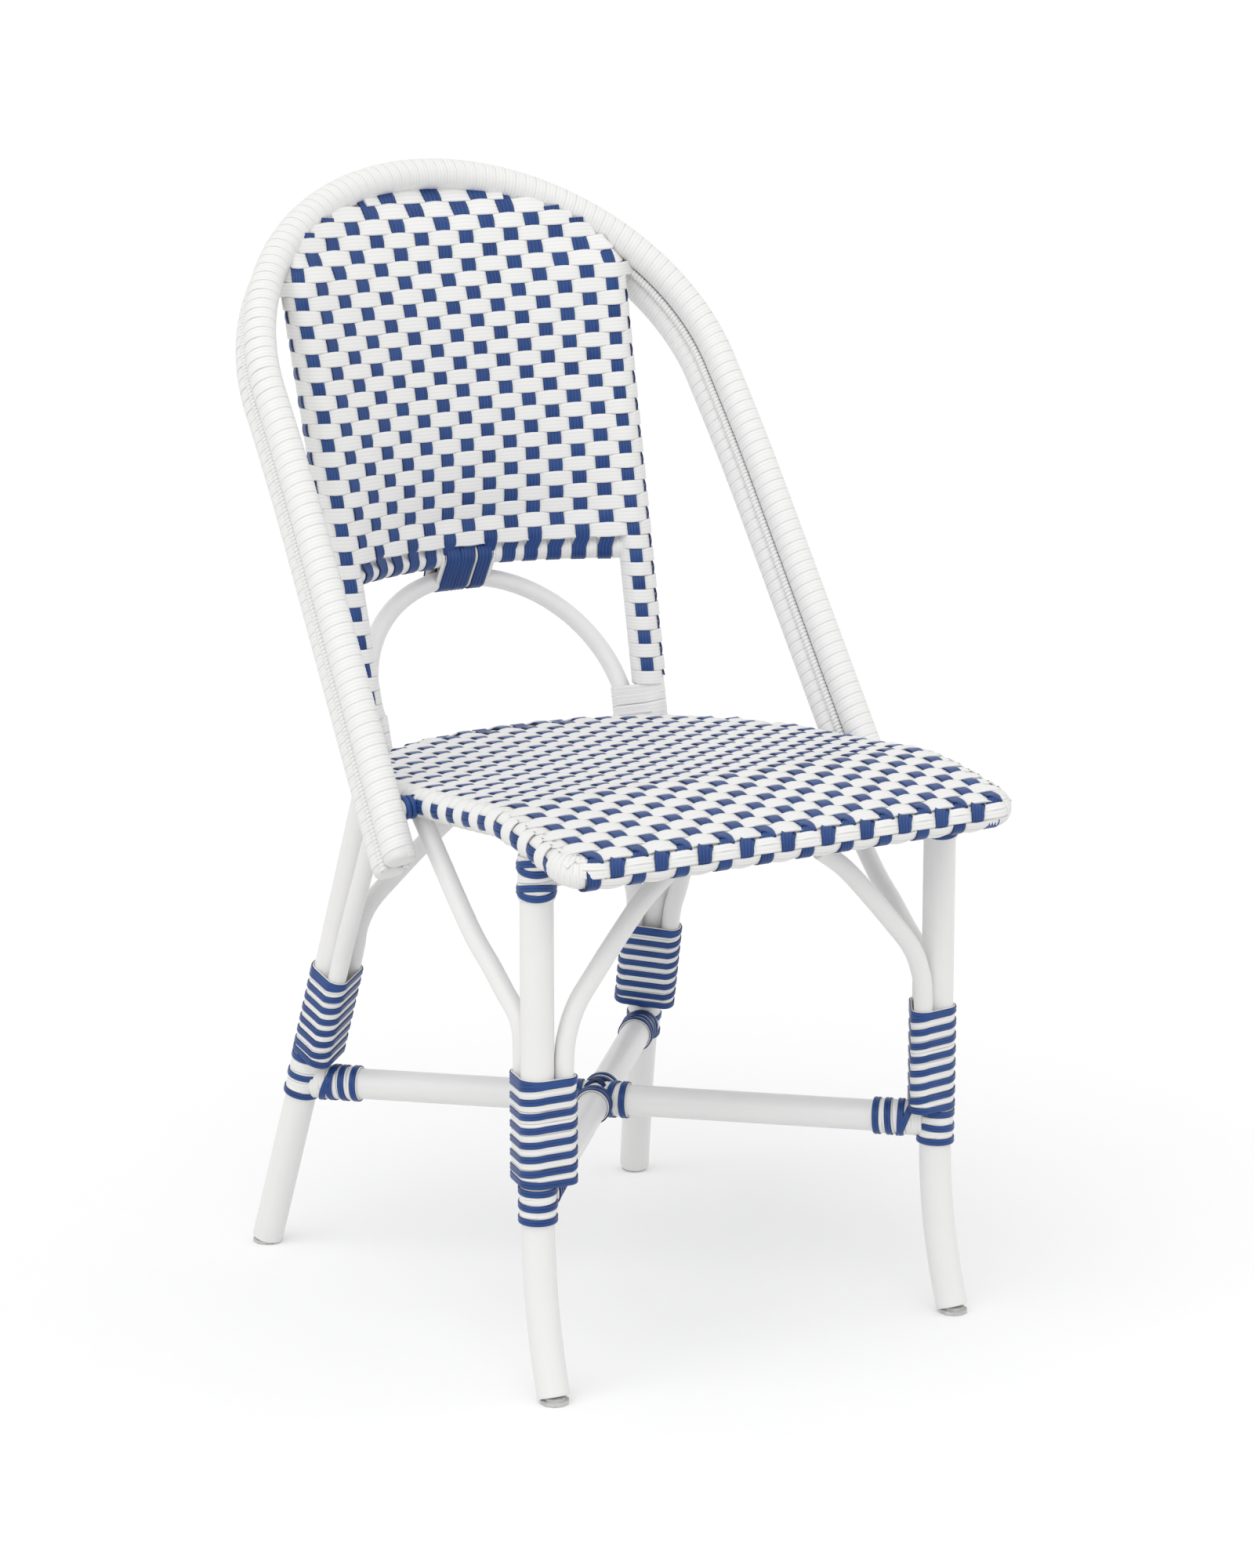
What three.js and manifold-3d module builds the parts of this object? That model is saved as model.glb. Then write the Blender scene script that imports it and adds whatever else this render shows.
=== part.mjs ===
// Woven bistro chair on a frame of round poles. Millimetres, +Z up, the chair faces -Y.
// Layout: X is the width, and y = 0 is the line where the seat's round back begins.
import * as THREE from 'three';
import Module from 'manifold-3d';
import { mergeVertices } from 'three/addons/utils/BufferGeometryUtils.js';

const wasm = await Module();
wasm.setup();

// General sizes
const clearance = 0.3;
const overrun = 40;
const sliver = 0.02;
const poleRadius = 12.7;
const braceRadius = 7.5;
const stretcherRadius = 12.5;
const crossRailRadius = 9.5;

// Seat rail, a tube bent into a ring, and the weave wrapped round it
const railRadius = 9.6;
const railWrap = 2;
const seatHalfWidth = 191;
const seatFrontHalfWidth = 197;
const seatFrontReach = 228;
const seatBackReach = 180;
const seatCornerRadius = 18;
const seatBackPower = 2.25;
const railPeakHeight = 436.2;
const railPeakReach = 118;
const seatFrontDrop = 19.7;
const seatDropPower = 1.5;
const seatBackDrop = 12.5;
const seatSheetThickness = 4.5;

// Front legs
const frontLegInset = 4.5;
const frontLegSetback = 69;
const frontFootBendHeight = 138;
const frontFootAdvance = 25.3;
const frontFootSpread = 1.7;
const frontLegSeatDepth = 2;

// Rear legs
const rearFootInset = 6.6;
const rearFootSetback = 94;
const rearLegAngle = 46.8;
const rearLegOffset = 16.4;
const rearLegBowInward = 8.1;
const rearLegBowBack = 8.9;

// Foot glides
const glideRadius = 11.2;
const glideThickness = 3.2;
const glideNeckRadius = 8.5;
const glideNeckHeight = 2.2;
const glideChamfer = 0.8;

// Back posts
const postRadius = 12;
const postWrap = 1.4;
const postAngle = 53.6;
const postOffset = 25.6;
const postTail = 16;
const postTopAngle = 45;
const postTopInset = 2.1;
const postTopAdvance = 7.6;
const postCutBack = 21;

// Back hoop of two tubes side by side
const hoopRadius = 12.85;
const hoopRearRadius = 13;
const hoopPairGap = 1.2;
const hoopRearInset = 3.7;
const hoopSpringHeight = 719.6;
const hoopRise = 157.8;
const hoopTaper = 11.4;
const hoopEndDrop = 44.2;
const hoopSeatAdvance = 1.3;
const hoopLeanShare = 0.64;
const hoopTopBow = 35.1;
const hoopBowStartShare = 0.4186;
const beadRadius = 3.2;
const lugLength = 9.35;
const lugRadius = 7.5;

// Woven back and its bottom rail
const backRailRise = 132.8;
const backRailRadius = 7.5;
const backRailWrap = 1.8;
const backSheetThickness = 4;
const backDip = 34;
const backDipSkew = 0.25;
const backDipPower = 3;
const postWrapStart = 27;

// Arch below the back
const archRadius = 7.5;
const archSpringRise = 17.8;
const archPostInset = 17.5;
const archPostSetback = 16.5;
const archCrownDrop = 21;
const archCrownSetback = 9;
const archTail = 40;

// Braces
const frontBraceStart = 171;
const rearBraceStart = 173;
const braceBendHeight = 262;
const braceRun = 96;
const braceEndDrop = 47.5;
const sideBraceLift = 10;
const rearSideBraceAngle = 36;
const frontBraceTurn = 20;
const rearSideBraceTurn = 11.5;

// Stretchers
const frontStretcherHeight = 154.5;
const rearStretcherHeight = 147;
const crossingReach = 27;

// Cord sleeves and the navy cord wound on them
const sleeveThickness = 1;
const sleeveSlack = 0.8;
const bandWidth = 5.4;
const bandThickness = 0.9;
const bandPitch = 10.5;
const frontBindingBottom = 165;
const rearBindingBottom = 171;
const frontBindingHeight = 84;
const rearBindingHeight = 74.3;
const jointWrapBottom = 136;
const jointWrapRows = 3;
const jointOpenSteps = 5;
const stretcherSleeveLength = 37;
const stretcherTurns = 2.25;
const topWrapHeight = 33.8;
const topWrapRows = 3;
const topOpenSteps = 4;
const crossingSleeveThickness = 2;
const plainWrapThickness = 2;
const plainWrapBottom = 5;
const plainWrapHeight = 25;
const archBindingWidth = 53;
const archBindingThickness = 2.4;
const bridgeTolerance = 0.03;
const arcStep = 0.5;
const slopeStep = 1;

// Smoothness
const poleSides = 12;
const thinSides = 8;
const hoopSides = 10;
const railSides = 8;
const skinSides = 10;
const poleSteps = 6;
const archSteps = 9;
const tailSteps = 2;
const hoopSideSteps = 6;
const hoopArchSteps = 16;
const beadSides = 5;
const backArcSteps = 16;
const sideSteps = 4;
const frontSteps = 3;
const cornerSteps = 4;
const profileSteps = 10;
const sheetColumns = 10;
const sheetRows = 8;
const bindingSteps = 10;
const laceSteps = 16;
const coilSteps = 10;
const turnSteps = 4;

// Finishes
const paint = { color: 0xf1f0ee, roughness: 0.42, metalness: 0 };
const whiteCord = { color: 0xeeedeb, roughness: 0.55, metalness: 0 };
const navyCord = { color: 0x2f4f92, roughness: 0.5, metalness: 0 };
const glideFinish = { color: 0xdcdcda, roughness: 0.6, metalness: 0 };

// Sizes that follow from the ones above
const wovenRailRadius = railRadius + railWrap;
const wovenPostRadius = postRadius + postWrap;
const wovenBackRailRadius = backRailRadius + backRailWrap;
const legBottom = glideThickness + glideNeckHeight + clearance;
const railBackHeight = railPeakHeight - seatBackDrop;
const crossRailHeight = railBackHeight - wovenRailRadius - crossRailRadius - clearance;
const braceOffset = poleRadius + braceRadius + clearance;
const hoopTopHeight = hoopSpringHeight + hoopRise;
const hoopSeatHalfWidth = seatHalfWidth + wovenRailRadius + lugLength + hoopRadius;
const hoopHalfWidth = hoopSeatHalfWidth - hoopTaper;
const up = new THREE.Vector3(0, 0, 1);

function point(x, y, z) {
  return new THREE.Vector3(x, y, z);
}

function mirrored(p, side) {
  return point(p.x * side, p.y, p.z);
}

// A smooth curve that is sampled exactly at the points it is given.
class PoleCurve extends THREE.CatmullRomCurve3 {
  getUtoTmapping(u) {
    return u;
  }
}

function roundSection(radius, sides) {
  const shape = new THREE.Shape();
  for (let i = 0; i < sides; i++) {
    const angle = (2 * Math.PI * i) / sides;
    if (i === 0) shape.moveTo(radius, 0);
    else shape.lineTo(radius * Math.cos(angle), radius * Math.sin(angle));
  }
  return shape;
}

function tube(points, radius, sides = poleSides) {
  const path = new PoleCurve(points);
  const settings = { steps: points.length - 1, extrudePath: path, bevelEnabled: false };
  return new THREE.ExtrudeGeometry(roundSection(radius, sides), settings);
}

function ring(points, radius, sides = poleSides) {
  return new THREE.TubeGeometry(new PoleCurve(points, true), points.length, radius, sides, true);
}

function straightTube(from, to, radius, sides = poleSides) {
  return tube([from, to], radius, sides);
}

// Booleans: a geometry becomes a solid, and the finished solid becomes a geometry again.
function solid(shape) {
  if (shape instanceof wasm.Manifold) return shape;
  const bare = shape.clone();
  bare.deleteAttribute('normal');
  bare.deleteAttribute('uv');
  const merged = mergeVertices(bare);
  const vertProperties = new Float32Array(merged.attributes.position.array);
  const triVerts = new Uint32Array(merged.index.array);
  return new wasm.Manifold(new wasm.Mesh({ numProp: 3, vertProperties, triVerts }));
}

function geometryOf(body) {
  const mesh = body.simplify(sliver).getMesh();
  const geometry = new THREE.BufferGeometry();
  geometry.setAttribute('position', new THREE.BufferAttribute(mesh.vertProperties, 3));
  geometry.setIndex(new THREE.BufferAttribute(mesh.triVerts, 1));
  const faceted = geometry.toNonIndexed();
  faceted.computeVertexNormals();
  return faceted;
}

function largest(body) {
  const pieces = body.decompose();
  return pieces.reduce((best, piece) => (piece.volume() > best.volume() ? piece : best));
}

function cut(shape, ...tools) {
  return largest(tools.reduce((body, tool) => body.subtract(solid(tool)), solid(shape)));
}

function joined(...shapes) {
  return shapes.map(solid).reduce((sum, body) => sum.add(body));
}

function common(shape, other) {
  return solid(shape).intersect(solid(other));
}

const chair = new THREE.Group();

function addPart(name, shape, finish) {
  const geometry = shape instanceof wasm.Manifold ? geometryOf(shape) : shape;
  const mesh = new THREE.Mesh(geometry, new THREE.MeshStandardMaterial(finish));
  mesh.name = name;
  chair.add(mesh);
  return mesh;
}

// Seat rail: height of its centre line over the depth of the seat
function railHeight(y) {
  const forward = -y - railPeakReach;
  if (forward > 0) {
    const share = forward / (seatFrontReach - railPeakReach);
    return railPeakHeight - seatFrontDrop * share ** seatDropPower;
  }
  const share = -forward / (seatBackReach + railPeakReach);
  return railPeakHeight - seatBackDrop * (1 - (1 - share) ** 2);
}

// A point of the round back in plan, at an angle from the +X axis.
function backArc(degrees) {
  const angle = THREE.MathUtils.degToRad(degrees);
  const power = 2 / seatBackPower;
  const x = seatHalfWidth * Math.cos(angle) ** power;
  return point(x, seatBackReach * Math.sin(angle) ** power, 0);
}

// A point beside the round back, moved outwards square to the rail.
function besideBackArc(degrees, offset, height) {
  const here = backArc(degrees);
  const along = backArc(degrees + arcStep).sub(backArc(degrees - arcStep)).normalize();
  return point(here.x + along.y * offset, here.y - along.x * offset, height);
}

function railPlan() {
  const right = [];
  for (let i = 0; i <= backArcSteps / 2; i++) {
    right.push(backArc(90 - (90 * i) / (backArcSteps / 2)));
  }
  const cornerY = seatCornerRadius - seatFrontReach;
  for (let i = 1; i < sideSteps; i++) {
    const share = i / sideSteps;
    right.push(point(THREE.MathUtils.lerp(seatHalfWidth, seatFrontHalfWidth, share), cornerY * share, 0));
  }
  for (let i = 0; i <= cornerSteps; i++) {
    const angle = (Math.PI / 2) * (i / cornerSteps);
    const x = seatFrontHalfWidth - seatCornerRadius * (1 - Math.cos(angle));
    right.push(point(x, cornerY - seatCornerRadius * Math.sin(angle), 0));
  }
  const left = right.slice(1).reverse().map((p) => mirrored(p, -1));
  const front = [];
  const frontEdge = seatFrontHalfWidth - seatCornerRadius;
  for (let i = 1; i < frontSteps; i++) {
    front.push(point(THREE.MathUtils.lerp(frontEdge, -frontEdge, i / frontSteps), -seatFrontReach, 0));
  }
  return [...right, ...front, ...left];
}

const railPlanPoints = railPlan();
const railLine = railPlanPoints.map((p) => point(p.x, p.y, railHeight(p.y)));
const railTool = ring(railLine, railRadius + clearance, railSides);

// The flat of the seat: the plan of the rail, cut to a band that follows the rail's height.
function seatSheet() {
  const plan = new THREE.Shape(railPlanPoints.map((p) => new THREE.Vector2(p.x, p.y)));
  const block = new THREE.ExtrudeGeometry(plan, { depth: railPeakHeight + overrun, bevelEnabled: false });
  const top = [];
  const length = seatFrontReach + seatBackReach;
  for (let i = 0; i <= profileSteps; i++) {
    const y = length * (i / profileSteps) - seatFrontReach;
    top.push(new THREE.Vector2(y, railHeight(y) + wovenRailRadius));
  }
  const bottom = top.map((p) => new THREE.Vector2(p.x, p.y - seatSheetThickness)).reverse();
  const width = 2 * (seatFrontHalfWidth + overrun);
  const band = new THREE.ExtrudeGeometry(new THREE.Shape([...top, ...bottom]), {
    depth: width,
    bevelEnabled: false,
  });
  const turn = new THREE.Matrix4().makeBasis(point(0, 1, 0), up, point(1, 0, 0));
  band.applyMatrix4(turn).translate(-width / 2, 0, 0);
  return common(block, band);
}

// Poles of the legs, as curves of their centre lines
const frontLegX = seatHalfWidth - frontLegInset;
const frontLegY = frontLegSetback - seatFrontReach;
const frontLegTop = railHeight(frontLegY) - frontLegSeatDepth;

function frontLegLine(side) {
  const foot = point(frontLegX + frontFootSpread, frontLegY - frontFootAdvance, 0);
  const bend = point(frontLegX, frontLegY, frontFootBendHeight);
  const middle = point(frontLegX, frontLegY, frontFootBendHeight / 2);
  const curved = new THREE.QuadraticBezierCurve3(foot, middle, bend).getPoints(poleSteps);
  const line = [...curved, point(frontLegX, frontLegY, frontLegTop)];
  return line.map((p) => mirrored(p, side));
}

const rearLegTopHeight = railBackHeight;
const rearLegTopPoint = besideBackArc(rearLegAngle, rearLegOffset, rearLegTopHeight);
const rearFootPoint = point(seatHalfWidth - rearFootInset, seatBackReach + rearFootSetback, 0);

function rearLegCurve(side) {
  const middle = rearFootPoint.clone().lerp(rearLegTopPoint, 0.5);
  middle.add(point(-rearLegBowInward, rearLegBowBack, 0));
  const ends = [rearFootPoint, middle, rearLegTopPoint].map((p) => mirrored(p, side));
  return new THREE.QuadraticBezierCurve3(...ends);
}

function rearLegAt(height, side) {
  return rearLegCurve(side).getPoint(height / rearLegTopHeight);
}

function legPoints(isFront, side) {
  return isFront ? frontLegLine(side) : rearLegCurve(side).getPoints(poleSteps);
}

function legAxisAt(isFront, side, height) {
  return isFront ? point(frontLegX * side, frontLegY, height) : rearLegAt(height, side);
}

function legTool(isFront, side) {
  return tube(legPoints(isFront, side), poleRadius + clearance);
}

// A level block below a height, which trims a foot flat.
function floorBlock(height) {
  const block = new THREE.BoxGeometry(4 * seatHalfWidth, 4 * seatHalfWidth, 2 * overrun);
  return block.translate(0, 0, height - overrun);
}

// Hoop: the centre line of the front tube
function hoopDepth(z) {
  const start = THREE.MathUtils.lerp(railPeakHeight, hoopTopHeight, hoopBowStartShare);
  const bow = Math.max(0, (z - start) / (hoopTopHeight - start));
  return hoopLeanShare * (z - railPeakHeight) + hoopTopBow * bow ** 2 - hoopSeatAdvance;
}

function hoopHalfWidthAt(z) {
  const share = (hoopSpringHeight - z) / (hoopSpringHeight - railPeakHeight);
  return hoopHalfWidth + hoopTaper * share;
}

function hoopArchPoint(degrees) {
  const angle = THREE.MathUtils.degToRad(degrees);
  const z = hoopSpringHeight + hoopRise * Math.sin(angle);
  return point(hoopHalfWidth * Math.cos(angle), hoopDepth(z), z);
}

function hoopLine() {
  const right = [];
  const endHeight = railPeakHeight - hoopEndDrop;
  for (let i = 0; i < hoopSideSteps; i++) {
    const z = THREE.MathUtils.lerp(endHeight, hoopSpringHeight, i / hoopSideSteps);
    right.push(point(hoopHalfWidthAt(z), hoopDepth(z), z));
  }
  for (let i = 0; i < hoopArchSteps / 2; i++) {
    right.push(hoopArchPoint((90 * i) / (hoopArchSteps / 2)));
  }
  const left = right.slice().reverse().map((p) => mirrored(p, -1));
  return [...right, hoopArchPoint(90), ...left];
}

// A line beside the hoop: so far back, square to the hoop's leaning face, and so far inwards.
function besideHoop(back, inward) {
  const line = hoopLine();
  const curve = new PoleCurve(line);
  return line.map((p, i) => {
    const along = curve.getTangent(i / (line.length - 1));
    const slope = (hoopDepth(p.z + slopeStep) - hoopDepth(p.z - slopeStep)) / (2 * slopeStep);
    const backwards = point(0, 1, -slope).normalize();
    const inwards = along.clone().cross(backwards).normalize();
    return p.clone().addScaledVector(backwards, back).addScaledVector(inwards, inward);
  });
}

const hoopPairDistance = hoopRadius + hoopRearRadius + hoopPairGap;
const hoopRearBack = Math.sqrt(hoopPairDistance ** 2 - hoopRearInset ** 2);
const hoopRearLine = besideHoop(hoopRearBack, hoopRearInset);

// A bead lies in the groove on one side of the two tubes and touches both.
function beadLine(inwardSide) {
  const toFront = hoopRadius + beadRadius + clearance;
  const toRear = hoopRearRadius + beadRadius + clearance;
  const along = (hoopPairDistance ** 2 + toFront ** 2 - toRear ** 2) / (2 * hoopPairDistance);
  const aside = Math.sqrt(toFront ** 2 - along ** 2) * inwardSide;
  const tilt = Math.asin(hoopRearInset / hoopPairDistance);
  const back = along * Math.cos(tilt) - aside * Math.sin(tilt);
  const inward = along * Math.sin(tilt) + aside * Math.cos(tilt);
  return besideHoop(back, inward);
}

const hoopTools = [
  tube(hoopLine(), hoopRadius + clearance, hoopSides),
  tube(hoopRearLine, hoopRearRadius + clearance, hoopSides),
];

// Lugs between the seat rail and the hoop
const lugHeight = railHeight(0);
const lugY = hoopDepth(lugHeight);

function lug(side, radius) {
  return straightTube(
    point(seatHalfWidth * side, lugY, lugHeight),
    point(hoopHalfWidthAt(lugHeight) * side, lugY, lugHeight),
    radius,
    thinSides,
  );
}

// Back posts: straight poles that lean back from beside the seat to the hoop
const postBase = besideBackArc(postAngle, postOffset, railBackHeight);
const postAim = hoopArchPoint(postTopAngle).sub(point(postTopInset, postTopAdvance, 0));
const postDirection = postAim.clone().sub(postBase).normalize();

function postAt(height, side = 1) {
  const share = (height - postBase.z) / (postAim.z - postBase.z);
  return mirrored(postBase.clone().lerp(postAim, share), side);
}

function postTube(side, radius, bottom, top) {
  return straightTube(postAt(bottom, side), postAt(top, side), radius);
}

const postBottom = postBase.z - postTail;
const postTop = postAim.z - postCutBack;

// Face of the back: it joins the posts and curves back between them, deeply along the bottom rail and
// below the hoop's crown, and less in between, where the weave pulls it flat.
const grooveTop = hoopArchPoint(90).lerp(hoopRearLine[(hoopRearLine.length - 1) / 2], 0.5);
const backSagitta = grooveTop.y - postAt(grooveTop.z).y;

const backRailHeight = railPeakHeight + backRailRise;

function backDepthAt(z) {
  const way = (2 * (z - backRailHeight)) / (grooveTop.z - backRailHeight) - 1;
  const pull = Math.max(0, 1 - Math.abs(way) ** backDipPower);
  return backSagitta - backDip * pull * (1 + backDipSkew * way);
}

function backFace(x, z) {
  const post = postAt(z);
  return point(x, post.y + backDepthAt(z) * (1 - (x / post.x) ** 2), z);
}

function backSheet(thickness) {
  const slab = new THREE.BoxGeometry(1, 1, 1, sheetColumns, 1, sheetRows);
  const place = slab.attributes.position;
  for (let i = 0; i < place.count; i++) {
    const z = THREE.MathUtils.lerp(backRailHeight, hoopTopHeight, place.getZ(i) + 0.5);
    const face = backFace(2 * place.getX(i) * postAt(z).x, z);
    place.setXYZ(i, face.x, face.y + place.getY(i) * thickness, z);
  }
  return slab;
}

// Everything inside the hoop, seen from the front.
function insideHoop() {
  const outline = new THREE.Shape(hoopLine().map((p) => new THREE.Vector2(p.x, p.z)));
  const depth = hoopDepth(hoopTopHeight) + overrun + seatFrontReach;
  const prism = new THREE.ExtrudeGeometry(outline, { depth, bevelEnabled: false });
  const turn = new THREE.Matrix4().makeBasis(point(1, 0, 0), up, point(0, -1, 0));
  return prism.applyMatrix4(turn).translate(0, depth, 0);
}

function backRailLine() {
  const half = postAt(backRailHeight).x;
  const line = [];
  for (let i = 0; i <= sheetColumns; i++) {
    line.push(backFace(half * ((2 * i) / sheetColumns - 1), backRailHeight));
  }
  return line;
}

// Arch below the back: its feet stand behind the posts and its crown behind the bottom rail
const archSpringHeight = railPeakHeight + archSpringRise;
const archCrown = backFace(0, backRailHeight).add(point(0, archCrownSetback, -archCrownDrop));

function archFootAt(z, side = 1) {
  const post = postAt(z);
  return point((post.x - archPostInset) * side, post.y + archPostSetback, z);
}

function archLine() {
  const right = [];
  for (let i = 0; i < tailSteps; i++) {
    right.push(archFootAt(archSpringHeight - archTail * (1 - i / tailSteps)));
  }
  const foot = archFootAt(archSpringHeight);
  for (let i = 0; i < archSteps; i++) {
    const angle = (Math.PI / 2) * (i / archSteps);
    const here = foot.clone().lerp(archCrown, Math.sin(angle));
    right.push(here.setX(foot.x * Math.cos(angle)));
  }
  const left = right.slice().reverse().map((p) => mirrored(p, -1));
  return [...right, archCrown, ...left];
}

const archTool = tube(archLine(), archRadius + clearance, thinSides);

// Cross rails below the seat
function crossRail(isFront, radius) {
  const from = legAxisAt(isFront, -1, crossRailHeight);
  return straightTube(from, legAxisAt(isFront, 1, crossRailHeight), radius, thinSides);
}

// A frame that stands on a pole: its z axis runs along the pole.
function frameAlong(direction) {
  return new THREE.Quaternion().setFromUnitVectors(up, direction);
}

function legDirection(isFront, side) {
  if (isFront) return up.clone();
  const low = legAxisAt(false, side, rearBindingBottom);
  return legAxisAt(false, side, braceBendHeight).sub(low).normalize();
}

// Where the braces lie beside a leg, square to the leg: on its inner side and on the side of the next leg.
function braceSpot(isFront, isSide, side) {
  const along = isFront ? 1 : -1;
  const turned = isSide ? !isFront && rearSideBraceTurn : isFront && frontBraceTurn;
  const angle = THREE.MathUtils.degToRad(turned || 0);
  const near = braceOffset * Math.cos(angle);
  const off = braceOffset * Math.sin(angle);
  return isSide ? point(off * side, near * along, 0) : point(-near * side, -off, 0);
}

function braceFootAt(isFront, isSide, side, height) {
  const spot = braceSpot(isFront, isSide, side).applyQuaternion(frameAlong(legDirection(isFront, side)));
  return legAxisAt(isFront, side, height).add(spot);
}

// Bend of a brace: shares of its run and of its rise, from the vertical foot to the top.
const innerBendShares = [[0.04, 0.17], [0.13, 0.32], [0.29, 0.47], [0.52, 0.67], [0.77, 0.87], [1, 1]];
const sideBendShares = [[0.01, 0.11], [0.06, 0.19], [0.17, 0.27], [0.3, 0.37], [0.53, 0.54], [1, 1]];

function braceLine(isFront, isSide, side) {
  const start = isFront ? frontBraceStart : rearBraceStart;
  const foot = braceFootAt(isFront, isSide, side, start);
  const bend = braceFootAt(isFront, isSide, side, braceBendHeight);
  const top = braceTop(isFront, isSide, side);
  const line = [foot, foot.clone().lerp(bend, 0.5), bend];
  for (const [runShare, riseShare] of isSide ? sideBendShares : innerBendShares) {
    const z = THREE.MathUtils.lerp(bend.z, top.z, riseShare);
    const x = THREE.MathUtils.lerp(bend.x, top.x, runShare);
    const y = THREE.MathUtils.lerp(bend.y, top.y, isFront || !isSide ? runShare : riseShare);
    line.push(point(x, y, z));
  }
  return line;
}

function braceTop(isFront, isSide, side) {
  if (!isSide) {
    const foot = braceFootAt(isFront, isSide, side, braceBendHeight);
    const height = railPeakHeight - braceEndDrop;
    const rail = legAxisAt(isFront, side, crossRailHeight);
    return point(foot.x - braceRun * side, rail.y, height);
  }
  if (isFront) return point(seatHalfWidth * side, 0, railHeight(0) - sideBraceLift);
  const end = backArc(rearSideBraceAngle);
  return point(end.x * side, end.y, railHeight(end.y) - sideBraceLift);
}

function brace(isFront, isSide, side, radius) {
  return tube(braceLine(isFront, isSide, side), radius, thinSides);
}

// Stretchers: straight poles between opposite legs, at the height of the joint on each leg
function stretcherEnd(isFront, side) {
  return legAxisAt(isFront, side, isFront ? frontStretcherHeight : rearStretcherHeight);
}

const longFrom = stretcherEnd(false, -1);
const longTo = stretcherEnd(true, 1);
const crossing = longFrom.clone().lerp(longTo, -longFrom.x / (longTo.x - longFrom.x));

function longStretcher(radius) {
  return straightTube(longFrom, longTo, radius);
}

function halfStretcher(isFront, radius) {
  return straightTube(crossing, stretcherEnd(isFront, isFront ? -1 : 1), radius);
}

// Outline round a bundle of poles: points on the circles, and the ends of each bridge between them.
function bundleOutline(circles, offset, count) {
  const rayAt = (angle) => new THREE.Vector2(Math.cos(angle), Math.sin(angle));
  const reach = (c, ray) => c.x * ray.x + c.y * ray.y + c.radius;
  const farthest = (ray) => circles.reduce((best, c) => (reach(c, ray) > reach(best, ray) ? c : best));
  const fullTurn = 2 * Math.PI;
  const wrapTurn = (angle) => ((angle % fullTurn) + fullTurn) % fullTurn;
  const bridges = [];
  for (const from of circles) {
    for (const to of circles.filter((c) => c !== from)) {
      const distance = Math.hypot(to.x - from.x, to.y - from.y);
      const lean = Math.acos((from.radius - to.radius) / distance);
      const angle = Math.atan2(to.y - from.y, to.x - from.x) - lean;
      const ray = rayAt(angle);
      if (reach(farthest(ray), ray) - reach(from, ray) < bridgeTolerance) {
        bridges.push({ angle: wrapTurn(angle), circle: from, order: 0 });
        bridges.push({ angle: wrapTurn(angle), circle: to, order: 1 });
      }
    }
  }
  const step = fullTurn / count;
  const apart = (a, b) => Math.min(wrapTurn(a - b), wrapTurn(b - a));
  const stops = [...bridges];
  for (let k = 0; k < count; k++) {
    const angle = k * step;
    if (bridges.some((bridge) => apart(bridge.angle, angle) < step / 3)) continue;
    stops.push({ angle, circle: farthest(rayAt(angle)), order: 0 });
  }
  stops.sort((a, b) => a.angle - b.angle || a.order - b.order);
  return stops.map(({ angle, circle }) => {
    const ray = rayAt(angle);
    const radius = circle.radius + offset;
    return { x: circle.x + radius * ray.x, y: circle.y + radius * ray.y, ray };
  });
}

function sleeve(circles, height, thickness, count) {
  const path = (offset) => bundleOutline(circles, offset, count).map((p) => new THREE.Vector2(p.x, p.y));
  const shape = new THREE.Shape(path(sleeveSlack + thickness));
  shape.holes.push(new THREE.Path(path(sleeveSlack)));
  return new THREE.ExtrudeGeometry(shape, { depth: height, bevelEnabled: false });
}

// A flat cord along a path of places, each with the direction that its outer face looks in.
function flatCord(path) {
  const positions = [];
  const indices = [];
  path.forEach(({ place, facing }, i) => {
    const before = path[Math.max(0, i - 1)].place;
    const after = path[Math.min(path.length - 1, i + 1)].place;
    const across = facing.clone().cross(after.clone().sub(before)).normalize();
    for (const [lift, aside] of [[0, -1], [0, 1], [1, 1], [1, -1]]) {
      const corner = place.clone().addScaledVector(facing, lift * bandThickness);
      positions.push(...corner.addScaledVector(across, (aside * bandWidth) / 2).toArray());
    }
  });
  const corners = 4;
  for (let i = 0; i < path.length - 1; i++) {
    for (let j = 0; j < corners; j++) {
      const a = i * corners + j;
      const b = i * corners + ((j + 1) % corners);
      indices.push(a, b, a + corners, b, b + corners, a + corners);
    }
  }
  const last = (path.length - 1) * corners;
  indices.push(0, 2, 1, 0, 3, 2, last, last + 1, last + 2, last, last + 2, last + 3);
  const geometry = new THREE.BufferGeometry();
  geometry.setAttribute('position', new THREE.Float32BufferAttribute(positions, 3));
  geometry.setIndex(indices);
  return geometry.toNonIndexed();
}

// Least gap of a flat cord to itself: between places of it that are more than half a turn apart.
function leastGap(path, stepsApart) {
  let least = Infinity;
  for (let i = 0; i < path.length; i++) {
    for (let j = i + stepsApart; j < path.length; j++) {
      least = Math.min(least, path[i].place.distanceTo(path[j].place));
    }
  }
  return least - bandWidth;
}

function woundCord(name, path, stepsApart) {
  console.log(`${name}: least gap to itself ${leastGap(path, stepsApart).toFixed(2)} mm`);
  return flatCord(path);
}

// A helix round a bundle, with a corner of its path on each corner of the sleeve.
function helixPath(circles, offset, count, turns, start) {
  const outline = bundleOutline(circles, offset, count);
  const corners = outline.length;
  const path = [];
  for (let k = 0; k <= turns * corners; k++) {
    const { x, y, ray } = outline[k % corners];
    path.push({ place: point(x, y, start + (bandPitch * k) / corners), facing: point(ray.x, ray.y, 0) });
  }
  return path;
}

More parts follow.
